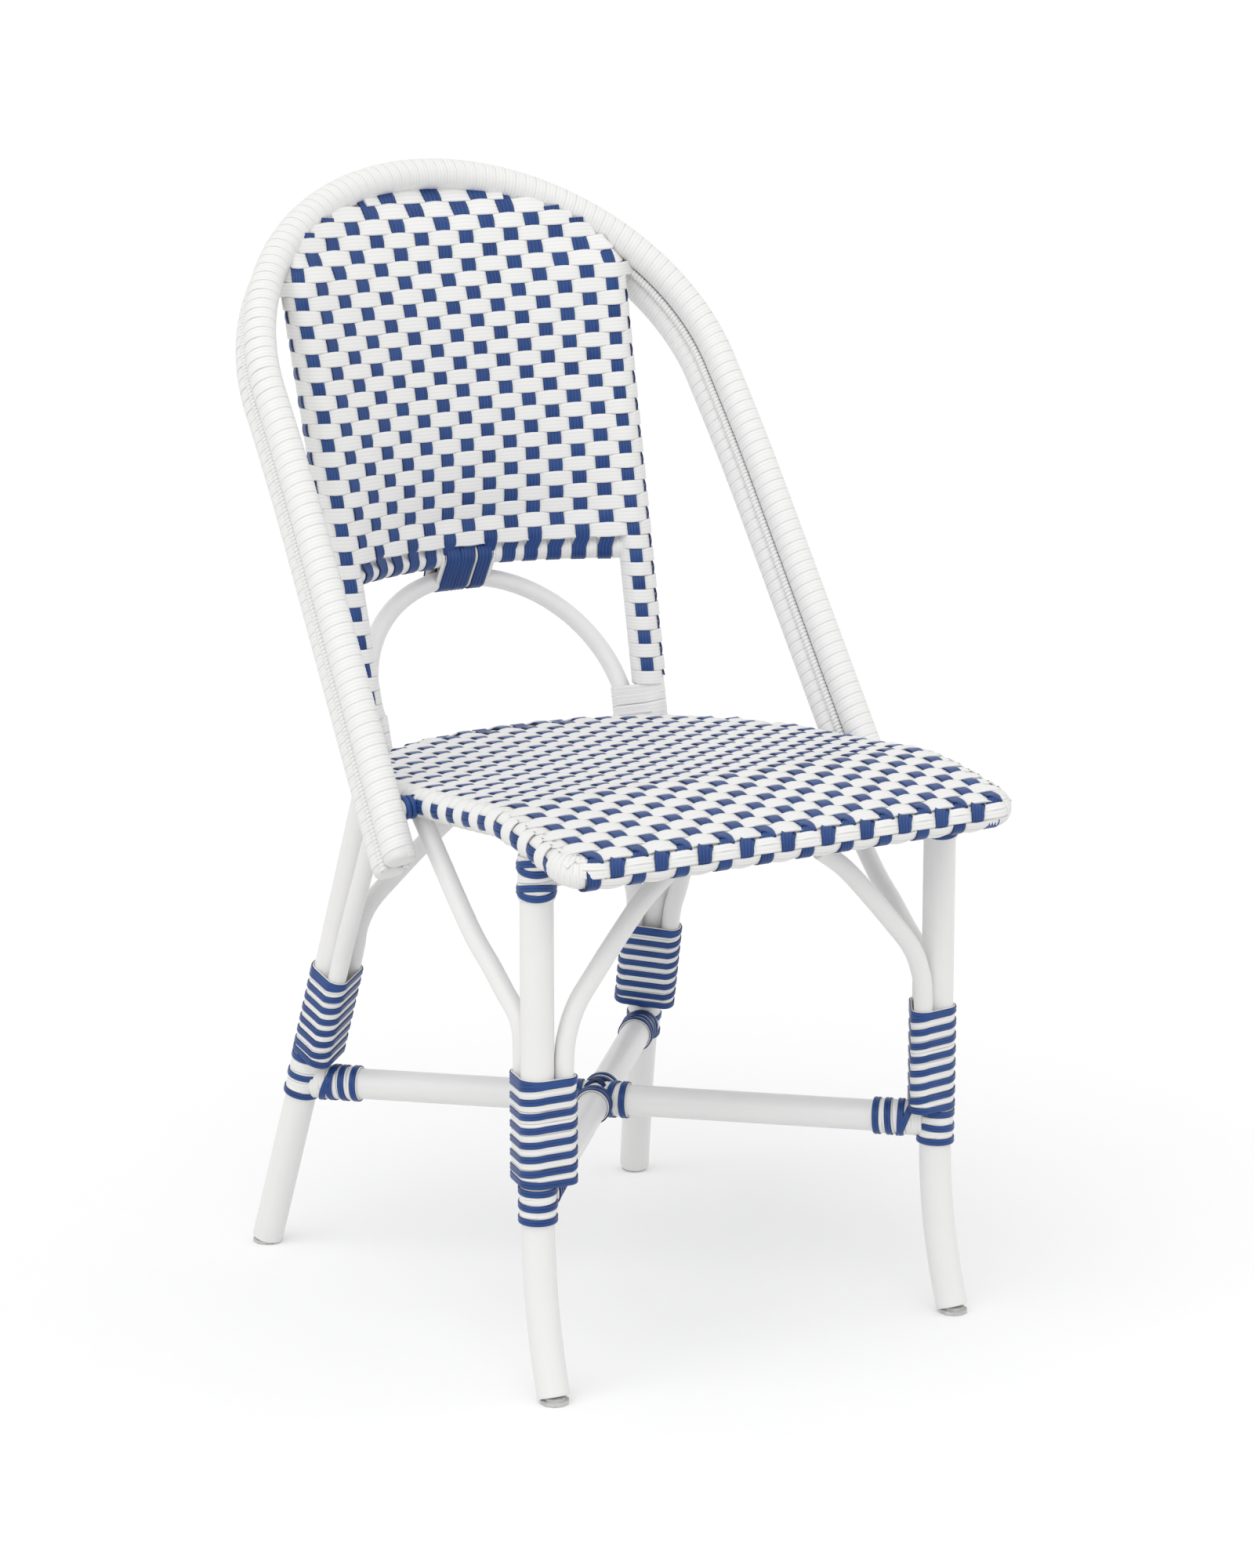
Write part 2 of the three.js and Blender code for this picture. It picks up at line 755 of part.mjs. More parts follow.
// Rows to and fro round a pole, which leave free the side of +X, where another pole joins it.
function lacePath(radius, openSteps, rows, start) {
  const path = [];
  const add = (angle, z) => {
    const facing = point(Math.cos(angle), Math.sin(angle), 0);
    path.push({ place: facing.clone().multiplyScalar(radius).setZ(z), facing });
  };
  const stepAngle = (2 * Math.PI) / laceSteps;
  const bow = bandPitch / 2 / radius;
  for (let row = 0; row < rows; row++) {
    const z = start + bandPitch * row;
    for (let k = openSteps; k <= laceSteps - openSteps; k++) {
      add((row % 2 ? laceSteps - k : k) * stepAngle, z);
    }
    if (row === rows - 1) break;
    const sense = row % 2 ? -1 : 1;
    const edge = (row % 2 ? openSteps : laceSteps - openSteps) * stepAngle;
    for (let i = 1; i < turnSteps; i++) {
      const turn = (Math.PI * i) / turnSteps;
      add(edge + sense * bow * Math.sin(turn), z + (bandPitch / 2) * (1 - Math.cos(turn)));
    }
  }
  return path;
}

function placed(geometry, origin, direction) {
  return geometry.applyQuaternion(frameAlong(direction)).translate(origin.x, origin.y, origin.z);
}

// The same, first turned about the pole so that the +X side faces another pole.
function placedFacing(geometry, origin, direction, towards) {
  const local = towards.clone().applyQuaternion(frameAlong(direction).invert());
  return placed(geometry.rotateZ(Math.atan2(local.y, local.x)), origin, direction);
}

// Build the seat

addPart('seat_rail', ring(railLine, railRadius, railSides), paint);

function railSkin() {
  const woven = joined(ring(railLine, wovenRailRadius, skinSides), seatSheet());
  const tools = [railTool];
  for (const side of [-1, 1]) {
    for (const isFront of [true, false]) {
      tools.push(legTool(isFront, side));
      tools.push(brace(isFront, true, side, braceRadius + clearance));
    }
    tools.push(lug(side, lugRadius + clearance));
    tools.push(postTube(side, postRadius + clearance, postBottom, postTop));
  }
  return cut(woven, ...tools);
}

addPart('seat_weave', railSkin(), whiteCord);

// Build the poles of the legs, their glides and the cross rails

function glide() {
  const profile = [
    [0, 0],
    [glideRadius - glideChamfer, 0],
    [glideRadius, glideChamfer],
    [glideRadius, glideThickness],
    [glideNeckRadius, glideThickness],
    [glideNeckRadius, glideThickness + glideNeckHeight],
    [0, glideThickness + glideNeckHeight],
  ];
  const turned = new THREE.LatheGeometry(profile.map(([r, z]) => new THREE.Vector2(r, z)), skinSides);
  return turned.rotateX(Math.PI / 2);
}

function legBody(isFront, side) {
  return cut(tube(legPoints(isFront, side), poleRadius), railTool, floorBlock(legBottom));
}

const sides = [['left', -1], ['right', 1]];

for (const [label, side] of sides) {
  for (const [end, isFront] of [['front', true], ['rear', false]]) {
    addPart(`${end}_leg_${label}`, legBody(isFront, side), paint);
    const foot = isFront ? frontLegLine(side)[0] : mirrored(rearFootPoint, side);
    addPart(`${end}_glide_${label}`, glide(), glideFinish).position.copy(foot);
  }
}

for (const [end, isFront] of [['front', true], ['rear', false]]) {
  const rail = crossRail(isFront, crossRailRadius);
  const tools = [legTool(isFront, -1), legTool(isFront, 1)];
  addPart(`${end}_cross_rail`, cut(rail, ...tools), paint);
}

// Build the braces

for (const [label, side] of sides) {
  for (const [end, isFront] of [['front', true], ['rear', false]]) {
    const railCut = crossRail(isFront, crossRailRadius + clearance);
    const inner = cut(brace(isFront, false, side, braceRadius), railCut);
    const beside = cut(brace(isFront, true, side, braceRadius), railTool);
    addPart(`${end}_brace_${label}`, inner, paint);
    addPart(`${end}_side_brace_${label}`, beside, paint);
  }
}

// Build the stretchers

const longTool = longStretcher(stretcherRadius + clearance);
addPart(
  'stretcher_long',
  cut(longStretcher(stretcherRadius), legTool(false, -1), legTool(true, 1)),
  paint,
);
addPart(
  'stretcher_front_half',
  cut(halfStretcher(true, stretcherRadius), longTool, legTool(true, -1)),
  paint,
);
addPart(
  'stretcher_rear_half',
  cut(halfStretcher(false, stretcherRadius), longTool, legTool(false, 1)),
  paint,
);

// Build the back: hoop, beads, posts, rail, arch and weave

function hoopFront() {
  const lugs = sides.map(([, side]) => cut(lug(side, lugRadius), railTool));
  return joined(tube(hoopLine(), hoopRadius, hoopSides), ...lugs);
}

addPart('hoop_front_tube', hoopFront(), whiteCord);
addPart('hoop_rear_tube', tube(hoopRearLine, hoopRearRadius, hoopSides), whiteCord);
addPart('hoop_bead_outer', tube(beadLine(-1), beadRadius, beadSides), whiteCord);
addPart('hoop_bead_inner', tube(beadLine(1), beadRadius, beadSides), whiteCord);
const beadTool = tube(beadLine(1), beadRadius + clearance, beadSides);

for (const [label, side] of sides) {
  const pole = postTube(side, postRadius, postBottom, postTop);
  const crossTool = crossRail(false, crossRailRadius + clearance);
  const tools = [...hoopTools, beadTool, legTool(false, side), crossTool];
  addPart(`back_post_${label}`, cut(pole, ...tools), paint);
}

const postTools = sides.map(([, side]) => postTube(side, postRadius + clearance, postBottom, postAim.z));
addPart('back_rail', cut(tube(backRailLine(), backRailRadius, thinSides), ...postTools), paint);
addPart('back_arch', tube(archLine(), archRadius, thinSides), paint);

function backWeave() {
  const start = railBackHeight + plainWrapBottom + plainWrapHeight + postWrapStart / 2;
  const wrapped = sides.map(([, side]) => postTube(side, wovenPostRadius, start, postTop));
  const railSleeve = tube(backRailLine(), wovenBackRailRadius, thinSides);
  const sheet = common(backSheet(backSheetThickness), insideHoop());
  const railHole = tube(backRailLine(), backRailRadius + clearance, thinSides);
  const woven = joined(sheet, railSleeve, ...wrapped);
  return cut(woven, ...postTools, railHole, ...hoopTools, beadTool);
}

addPart('back_weave', backWeave(), whiteCord);

// Plain white wraps that tie the feet of the arch to the posts

for (const [label, side] of sides) {
  const bottom = railBackHeight + plainWrapBottom;
  const frame = frameAlong(mirrored(postDirection, side));
  const origin = postAt(bottom, side);
  const middle = bottom + plainWrapHeight / 2;
  const spot = archFootAt(middle, side).sub(postAt(middle, side)).applyQuaternion(frame.clone().invert());
  const circles = [
    { x: 0, y: 0, radius: postRadius },
    { x: spot.x, y: spot.y, radius: archRadius },
  ];
  const wrap = sleeve(circles, plainWrapHeight, plainWrapThickness, bindingSteps);
  placed(wrap, origin, mirrored(postDirection, side));
  addPart(`post_wrap_${label}`, cut(wrap, railTool, archTool), whiteCord);
}

// Lashing of the arch to the bottom rail

function archBinding() {
  const railCentre = backFace(0, backRailHeight);
  const circles = [
    { x: railCentre.y, y: railCentre.z, radius: wovenBackRailRadius },
    { x: archCrown.y, y: archCrown.z, radius: archRadius },
  ];
  const outline = bundleOutline(circles, archBindingThickness, bindingSteps);
  const shape = new THREE.Shape(outline.map((p) => new THREE.Vector2(p.x, p.y)));
  const block = new THREE.ExtrudeGeometry(shape, { depth: archBindingWidth, bevelEnabled: false });
  const turn = new THREE.Matrix4().makeBasis(point(0, 1, 0), up, point(1, 0, 0));
  block.applyMatrix4(turn).translate(-archBindingWidth / 2, 0, 0);
  const railHole = tube(backRailLine(), wovenBackRailRadius + clearance, thinSides);
  return cut(block, railHole, archTool, backSheet(backSheetThickness + 2 * clearance));
}

addPart('arch_binding', archBinding(), navyCord);

// Large bindings of leg and braces, notched where a stretcher passes below them

const cordOffset = sleeveSlack + sleeveThickness + clearance;
const cordStart = bandWidth / 2 + clearance;
const coilReach = stretcherRadius + cordOffset + bandThickness + clearance;

for (const [label, side] of sides) {
  for (const [end, isFront] of [['front', true], ['rear', false]]) {
    const bottom = isFront ? frontBindingBottom : rearBindingBottom;
    const height = isFront ? frontBindingHeight : rearBindingHeight;
    const direction = legDirection(isFront, side);
    const origin = legAxisAt(isFront, side, bottom);
    const joint = stretcherEnd(isFront, side);
    const inner = braceSpot(isFront, false, side);
    const beside = braceSpot(isFront, true, side);
    const circles = [
      { x: 0, y: 0, radius: poleRadius },
      { x: inner.x, y: inner.y, radius: braceRadius },
      { x: beside.x, y: beside.y, radius: braceRadius },
    ];
    const body = placed(sleeve(circles, height, sleeveThickness, bindingSteps), origin, direction);
    addPart(`${end}_binding_${label}`, cut(body, straightTube(joint, crossing, coilReach)), whiteCord);
    const start = Math.max(0, joint.z + coilReach - bottom) + cordStart;
    const turns = (height - start - cordStart) / bandPitch;
    const path = helixPath(circles, cordOffset, bindingSteps, turns, start);
    const name = `${end}_binding_cord_${label}`;
    addPart(name, placed(woundCord(name, path, bindingSteps), origin, direction), navyCord);
  }
}

// Joint wraps: a sleeve on the leg below the binding, fused with a sleeve on the end of the stretcher

const poleCircle = [{ x: 0, y: 0, radius: poleRadius }];
const stretcherCircle = [{ x: 0, y: 0, radius: stretcherRadius }];
const laceRadius = poleRadius + cordOffset;
const midWall = sleeveSlack + sleeveThickness / 2;

for (const [label, side] of sides) {
  for (const [end, isFront] of [['front', true], ['rear', false]]) {
    const bindingBottom = isFront ? frontBindingBottom : rearBindingBottom;
    const origin = legAxisAt(isFront, side, jointWrapBottom);
    const span = legAxisAt(isFront, side, bindingBottom).sub(origin);
    const direction = span.clone().normalize();
    const joint = stretcherEnd(isFront, side);
    const along = crossing.clone().sub(joint).normalize();
    const toward = joint.clone().addScaledVector(along, overrun);
    const onLeg = sleeve(poleCircle, span.length() - clearance, sleeveThickness, laceSteps);
    const onEnd = sleeve(stretcherCircle, poleRadius + stretcherSleeveLength, sleeveThickness, coilSteps);
    const leg = tube(legPoints(isFront, side), poleRadius + midWall);
    const hole = straightTube(joint, toward, stretcherRadius + midWall);
    const legPart = cut(placedFacing(onLeg, origin, direction, along), hole);
    const endPart = cut(placed(onEnd, joint, along), leg);
    addPart(`${end}_joint_wrap_${label}`, joined(legPart, endPart), whiteCord);

    const lace = woundCord(
      `${end}_joint_cord_${label}`,
      lacePath(laceRadius, jointOpenSteps, jointWrapRows, cordStart),
      laceSteps,
    );
    addPart(`${end}_joint_cord_${label}`, placedFacing(lace, origin, direction, along), navyCord);

    const coilStart = joint.clone().addScaledVector(along, laceRadius + bandWidth);
    const coil = woundCord(
      `${end}_stretcher_cord_${label}`,
      helixPath(stretcherCircle, cordOffset, coilSteps, stretcherTurns, cordStart),
      coilSteps / 2,
    );
    addPart(`${end}_stretcher_cord_${label}`, placed(coil, coilStart, along), navyCord);
  }
}

// Wraps at the tops of the front legs, open where the cross rail joins

for (const [label, side] of sides) {
  const wrapFront = frontLegY - laceRadius - bandThickness;
  const wrapTop = railHeight(wrapFront) - wovenRailRadius - clearance;
  const origin = legAxisAt(true, side, wrapTop - topWrapHeight);
  const inward = point(-side, 0, 0);
  const wrap = sleeve(poleCircle, topWrapHeight, sleeveThickness, laceSteps);
  const hole = crossRail(true, crossRailRadius + clearance);
  addPart(`front_top_wrap_${label}`, cut(placedFacing(wrap, origin, up, inward), hole), whiteCord);
  const lace = woundCord(
    `front_top_cord_${label}`,
    lacePath(laceRadius, topOpenSteps, topWrapRows, cordStart),
    laceSteps,
  );
  addPart(`front_top_cord_${label}`, placedFacing(lace, origin, up, inward), navyCord);
}

// Lashing where the stretchers cross

function crossingLashing() {
  const arms = [longTo, stretcherEnd(true, -1)].map((end) => {
    const along = end.clone().sub(crossing).normalize();
    const from = crossing.clone().addScaledVector(along, -crossingReach);
    const to = crossing.clone().addScaledVector(along, crossingReach);
    return straightTube(from, to, stretcherRadius + clearance + crossingSleeveThickness, skinSides);
  });
  const half = (isFront) => halfStretcher(isFront, stretcherRadius + clearance);
  return cut(joined(...arms), longTool, half(true), half(false));
}

addPart('crossing_lashing', crossingLashing(), whiteCord);

// The finished chair stands on the floor with the middle of its box over the origin.
chair.updateMatrixWorld(true);
const box = new THREE.Box3().setFromObject(chair, true);
chair.position.y = -(box.min.y + box.max.y) / 2;

export default chair;
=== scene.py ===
import logging

from dataclasses import dataclass, field
from enum import Enum
from functools import cached_property
from math import asin, atan2, ceil, cos, hypot, pi, radians, sin, sqrt
from typing import Any, Callable, Iterable, Sequence

import bpy
import numpy as np
from bpy.types import Material, Mesh, Node, NodeSocket, NodeTree, Object
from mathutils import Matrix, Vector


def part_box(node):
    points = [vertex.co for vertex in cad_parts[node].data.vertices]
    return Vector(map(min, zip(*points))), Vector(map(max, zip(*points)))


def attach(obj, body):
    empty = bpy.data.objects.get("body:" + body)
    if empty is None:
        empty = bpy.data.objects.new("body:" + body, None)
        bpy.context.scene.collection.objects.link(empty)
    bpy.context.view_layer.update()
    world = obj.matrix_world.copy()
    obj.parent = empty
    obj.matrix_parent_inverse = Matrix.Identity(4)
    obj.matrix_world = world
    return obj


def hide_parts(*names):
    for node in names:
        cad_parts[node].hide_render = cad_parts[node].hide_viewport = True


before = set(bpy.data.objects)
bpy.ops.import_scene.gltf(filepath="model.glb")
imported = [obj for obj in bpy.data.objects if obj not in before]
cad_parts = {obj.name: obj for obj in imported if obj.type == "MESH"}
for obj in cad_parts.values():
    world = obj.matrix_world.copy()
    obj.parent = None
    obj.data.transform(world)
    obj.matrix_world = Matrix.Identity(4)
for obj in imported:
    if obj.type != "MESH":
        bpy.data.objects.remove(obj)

Array = np.ndarray
Colour = tuple[float, float, float, float]
LOG = logging.getLogger("chair")
SIDES: tuple[tuple[str, int], ...] = (("left", -1), ("right", 1))
ENDS: tuple[tuple[str, bool], ...] = (("front", True), ("rear", False))
UP = np.array([0.0, 0.0, 1.0])
TURN_STEPS = 48
ROUNDING = ((0.0, 1.0), (0.13, 0.5), (0.45, 0.14), (1.0, 0.0))


def unit(vectors: Array) -> Array:
    """Return the vectors with length one."""
    return vectors / np.linalg.norm(vectors, axis=-1, keepdims=True)


def mirrored(points: Array, side: int) -> Array:
    """Return the points with their x multiplied by the side, -1 or 1."""
    return np.asarray(points, float) * np.array([side, 1.0, 1.0])


def stacked(x: Any, y: Any, z: Any) -> Array:
    """Return one array of points from three coordinates that may be numbers or arrays."""
    return np.stack(np.broadcast_arrays(*(np.asarray(v, float) for v in (x, y, z))), axis=-1)


def smooth_step(value: Any) -> Any:
    """Return 0 below 0, 1 above 1 and a smooth rise in between."""
    share = np.clip(value, 0.0, 1.0)
    return share * share * (3 - 2 * share)


def quadratic(start: Any, middle: Any, end: Any, t: Any) -> Array:
    """Return points of a curve that starts towards a middle point and ends from it, at shares t."""
    return start * (1 - t) ** 2 + 2 * middle * t * (1 - t) + end * t**2


def straight(start: Array, end: Array, count: int) -> Array:
    """Return evenly spaced points from one point to another."""
    return start + (end - start) * np.linspace(0, 1, count)[:, None]


def both_halves(half: Array) -> Array:
    """Return half a line and its mirror image, which share the half's last point."""
    return np.vstack([half, mirrored(half[:-1][::-1], -1)])


def over_under(column: Any, row: Any) -> Any:
    """Return 1 where a navy band passes over a row, -1 where it passes under, and a wave in between."""
    return -np.cos(pi * (column + row))


def tangents(points: Array) -> Array:
    """Return the unit direction of a line of points at each of them."""
    return unit(np.gradient(points, axis=0))

def spline(points: Array, steps: int) -> Array:
    """Run a smooth curve through points.

    Args:
        points: the points that the curve passes through.
        steps: how many steps lie between two of them.

    Returns:
        The points of the curve, the given ones among them.
    """
    p = np.vstack([2 * points[0] - points[1], points, 2 * points[-1] - points[-2]])
    out = []
    for a, b, c, d in zip(p, p[1:], p[2:], p[3:]):
        for t in np.arange(steps) / steps:
            out.append(0.5 * (2 * b + (c - a) * t + (2 * a - 5 * b + 4 * c - d) * t**2
                              + (3 * b - a - 3 * c + d) * t**3))
    return np.array(out + [points[-1]])


def turned_to(direction: Array) -> Array:
    """Return the rotation, as rows of axes, whose z axis is the direction and whose x stays near +X."""
    z = unit(np.asarray(direction, float))
    axis = np.cross(UP, z)
    s, c = np.linalg.norm(axis), float(z[2])
    if s < 1e-9:
        return np.eye(3)
    k = axis / s
    cross = np.array([[0, -k[2], k[1]], [k[2], 0, -k[0]], [-k[1], k[0], 0]])
    return (np.eye(3) + s * cross + (1 - c) * cross @ cross).T


@dataclass(frozen=True)
class Layout:
    """Sizes of the chair's frame in millimetres, and the lines that its pieces follow."""

    clearance: float = 0.3
    pole_radius: float = 12.7
    brace_radius: float = 7.5
    stretcher_radius: float = 12.5
    cross_rail_radius: float = 9.5
    rail_radius: float = 9.6
    rail_wrap: float = 2.0
    seat_half_width: float = 191.0
    seat_front_half_width: float = 197.0
    seat_front_reach: float = 228.0
    seat_back_reach: float = 180.0
    seat_corner_radius: float = 18.0
    seat_back_power: float = 2.25
    rail_peak_height: float = 436.2
    rail_peak_reach: float = 118.0
    seat_front_drop: float = 19.7
    seat_drop_power: float = 1.5
    seat_back_drop: float = 12.5
    front_leg_inset: float = 4.5
    front_leg_setback: float = 69.0
    front_foot_bend: float = 138.0
    front_foot_advance: float = 25.3
    front_foot_spread: float = 1.7
    rear_foot_inset: float = 6.6
    rear_foot_setback: float = 94.0
    rear_leg_angle: float = 46.8
    rear_leg_offset: float = 16.4
    rear_leg_bow: tuple[float, float] = (8.1, 8.9)
    post_radius: float = 12.0
    post_angle: float = 53.6
    post_offset: float = 25.6
    post_tail: float = 16.0
    post_top_angle: float = 45.0
    post_top_inset: float = 2.1
    post_top_advance: float = 7.6
    hoop_radius: float = 12.85
    hoop_rear_radius: float = 13.0
    hoop_pair_gap: float = 1.2
    hoop_rear_inset: float = 3.7
    hoop_spring_height: float = 719.6
    hoop_rise: float = 157.8
    hoop_taper: float = 11.4
    hoop_end_drop: float = 44.2
    hoop_seat_advance: float = 1.3
    hoop_lean: float = 0.64
    hoop_top_bow: float = 35.1
    hoop_bow_start: float = 0.4186
    bead_radius: float = 3.2
    lug_length: float = 9.35
    lug_radius: float = 7.5
    back_rail_rise: float = 132.8
    back_rail_radius: float = 7.5
    back_dip: float = 34.0
    back_dip_skew: float = 0.25
    back_dip_power: float = 3.0
    arch_radius: float = 7.5
    arch_spring_rise: float = 17.8
    arch_post_inset: float = 17.5
    arch_post_setback: float = 16.5
    arch_crown_drop: float = 21.0
    arch_crown_setback: float = 9.0
    arch_tail: float = 40.0
    brace_starts: tuple[float, float] = (171.0, 173.0)
    brace_bend_height: float = 262.0
    brace_run: float = 96.0
    brace_end_drop: float = 47.5
    side_brace_lift: float = 10.0
    rear_side_brace_angle: float = 36.0
    front_brace_turn: float = 20.0
    rear_side_brace_turn: float = 11.5
    stretcher_heights: tuple[float, float] = (154.5, 147.0)
    layout_foot_y: float = -184.3

    @cached_property
    def shift(self) -> float:
        """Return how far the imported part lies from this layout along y."""
        low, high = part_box("front_glide_left")
        return 500 * (low[1] + high[1]) - self.layout_foot_y

    def metres(self, points: Array) -> Array:
        """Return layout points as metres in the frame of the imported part."""
        return (np.asarray(points, float) + np.array([0.0, self.shift, 0.0])) / 1000

    @property
    def woven_rail_radius(self) -> float:
        """Return the radius of the seat rail with its weave."""
        return self.rail_radius + self.rail_wrap

    @property
    def rail_back_height(self) -> float:
        """Return the height of the seat rail's centre at the back."""
        return self.rail_peak_height - self.seat_back_drop

    @property
    def hoop_top_height(self) -> float:
        """Return the height of the front tube's centre at the crown."""
        return self.hoop_spring_height + self.hoop_rise

    @property
    def hoop_half_width(self) -> float:
        """Return half the width of the hoop where its arch springs."""
        seat = self.seat_half_width + self.woven_rail_radius + self.lug_length + self.hoop_radius
        return seat - self.hoop_taper

    @property
    def cross_rail_height(self) -> float:
        """Return the height of the cross rails below the seat."""
        return self.rail_back_height - self.woven_rail_radius - self.cross_rail_radius - self.clearance

    @property
    def back_rail_height(self) -> float:
        """Return the height of the bottom rail of the back."""
        return self.rail_peak_height + self.back_rail_rise

    @property
    def front_corner(self) -> tuple[float, float]:
        """Return the centre of the rail's right front corner in plan."""
        return self.seat_front_half_width - self.seat_corner_radius, self.seat_corner_radius - self.seat_front_reach

    def rail_height(self, y: Any) -> Array:
        """Return the height of the seat rail's centre at a depth y."""
        forward = -np.asarray(y, float) - self.rail_peak_reach
        share = np.clip(forward / (self.seat_front_reach - self.rail_peak_reach), 0, None)
        front = self.rail_peak_height - self.seat_front_drop * share**self.seat_drop_power
        back = -forward / (self.seat_back_reach + self.rail_peak_reach)
        return np.where(forward > 0, front, self.rail_peak_height - self.seat_back_drop * (1 - (1 - back) ** 2))

    def back_arc(self, degrees: Any) -> Array:
        """Return points of the seat's round back in plan."""
        t, power = np.radians(degrees), 2 / self.seat_back_power
        x = self.seat_half_width * np.clip(np.cos(t), 0, 1) ** power
        return stacked(x, self.seat_back_reach * np.clip(np.sin(t), 0, 1) ** power, 0)

    def beside_back_arc(self, degrees: float, offset: float, height: float) -> Array:
        """Return a point so far outside the seat's round back, square to the rail."""
        here = self.back_arc(degrees)
        along = unit(self.back_arc(degrees + 0.5) - self.back_arc(degrees - 0.5))
        return np.array([here[0] + along[1] * offset, here[1] - along[0] * offset, height])

    def rail_line(self) -> Array:
        """Return the closed centre line of the seat rail, from the back round the right side."""
        edge, corner_y = self.front_corner
        arc = self.back_arc(90 * (1 - np.linspace(0, 1, 41) ** 1.15))
        share = np.linspace(0, 1, 24)[1:-1]
        side = stacked(self.seat_half_width + (self.seat_front_half_width - self.seat_half_width) * share,
                       corner_y * share, 0)
        angle = np.linspace(0, pi / 2, 10)
        corner = stacked(edge + self.seat_corner_radius * np.cos(angle),
                         corner_y - self.seat_corner_radius * np.sin(angle), 0)
        right = np.vstack([arc, side, corner])
        front = stacked(np.linspace(edge, -edge, 24)[1:-1], -self.seat_front_reach, 0)
        line = np.vstack([right, front, mirrored(right[1:][::-1], -1)])
        line[:, 2] = self.rail_height(line[:, 1])
        return line

    def seat_edge(self, y: float) -> tuple[float, float]:
        """Return the rail's half width at a depth y and the slope dx/dy of its line there."""
        edge, corner_y = self.front_corner
        if y > 0:
            share = min(y / self.seat_back_reach, 0.9999)
            p = self.seat_back_power
            x = self.seat_half_width * (1 - share**p) ** (1 / p)
            return x, -((self.seat_half_width / self.seat_back_reach) ** p) * (y / x) ** (p - 1)
        slope = (self.seat_front_half_width - self.seat_half_width) / corner_y
        if y > corner_y:
            return self.seat_half_width + slope * y, slope
        deep = min((corner_y - y) / self.seat_corner_radius, 0.9999)
        flat = sqrt(1 - deep**2)
        return edge + self.seat_corner_radius * flat, deep / flat

    def seat_back_at(self, x: float) -> tuple[float, float]:
        """Return the depth of the rail's back at a width x and the slope dy/dx of its line there."""
        share, p = min(abs(x) / self.seat_half_width, 0.9999), self.seat_back_power
        y = self.seat_back_reach * (1 - share**p) ** (1 / p)
        return y, -((self.seat_back_reach / self.seat_half_width) ** p) * (abs(x) / y) ** (p - 1)

    def leg_line(self, is_front: bool, side: int) -> Array:
        """Return the centre line of a leg from the floor up."""
        t = np.linspace(0, 1, 17)[:, None]
        if not is_front:
            return mirrored(quadratic(*self._rear_leg, t), side)
        bend = self.leg_at(True, 1, self.front_foot_bend)
        foot = np.array([bend[0] + self.front_foot_spread, bend[1] - self.front_foot_advance, 0])
        top = np.array([bend[0], bend[1], self.rail_height(bend[1]) - 2])
        curve = quadratic(foot, bend * [1, 1, 0.5], bend, t)
        return mirrored(np.vstack([curve, (bend + top) / 2, top]), side)

    @cached_property
    def _rear_leg(self) -> tuple[Array, Array, Array]:
        """Return the three points that shape a right rear leg."""
        foot = np.array([self.seat_half_width - self.rear_foot_inset,
                         self.seat_back_reach + self.rear_foot_setback, 0])
        top = self.beside_back_arc(self.rear_leg_angle, self.rear_leg_offset, self.rail_back_height)
        middle = (foot + top) / 2 + np.array([-self.rear_leg_bow[0], self.rear_leg_bow[1], 0])
        return foot, middle, top

    def leg_at(self, is_front: bool, side: int, height: float) -> Array:
        """Return the point of a leg's axis at a height above its foot bend."""
        if is_front:
            x = (self.seat_half_width - self.front_leg_inset) * side
            return np.array([x, self.front_leg_setback - self.seat_front_reach, height])
        return mirrored(quadratic(*self._rear_leg, height / self.rail_back_height), side)

    def leg_direction(self, is_front: bool, side: int) -> Array:
        """Return the direction of a leg where its binding sits."""
        if is_front:
            return UP
        low = self.leg_at(False, side, self.brace_starts[0])
        return unit(self.leg_at(False, side, self.brace_bend_height) - low)

    def brace_spot(self, is_front: bool, is_side: bool, side: int) -> Array:
        """Return where a brace lies beside its leg, square to the leg."""
        turn = 0.0
        if is_side != is_front:
            turn = radians(self.front_brace_turn if is_front else self.rear_side_brace_turn)
        reach = self.pole_radius + self.brace_radius + self.clearance
        near, off = reach * cos(turn), reach * sin(turn)
        if is_side:
            return np.array([off * side, near if is_front else -near, 0])
        return np.array([-near * side, -off, 0])

    def brace_foot(self, is_front: bool, is_side: bool, side: int, height: float) -> Array:
        """Return the point of a brace beside its leg at a height."""
        spot = self.brace_spot(is_front, is_side, side) @ turned_to(self.leg_direction(is_front, side))
        return self.leg_at(is_front, side, height) + spot

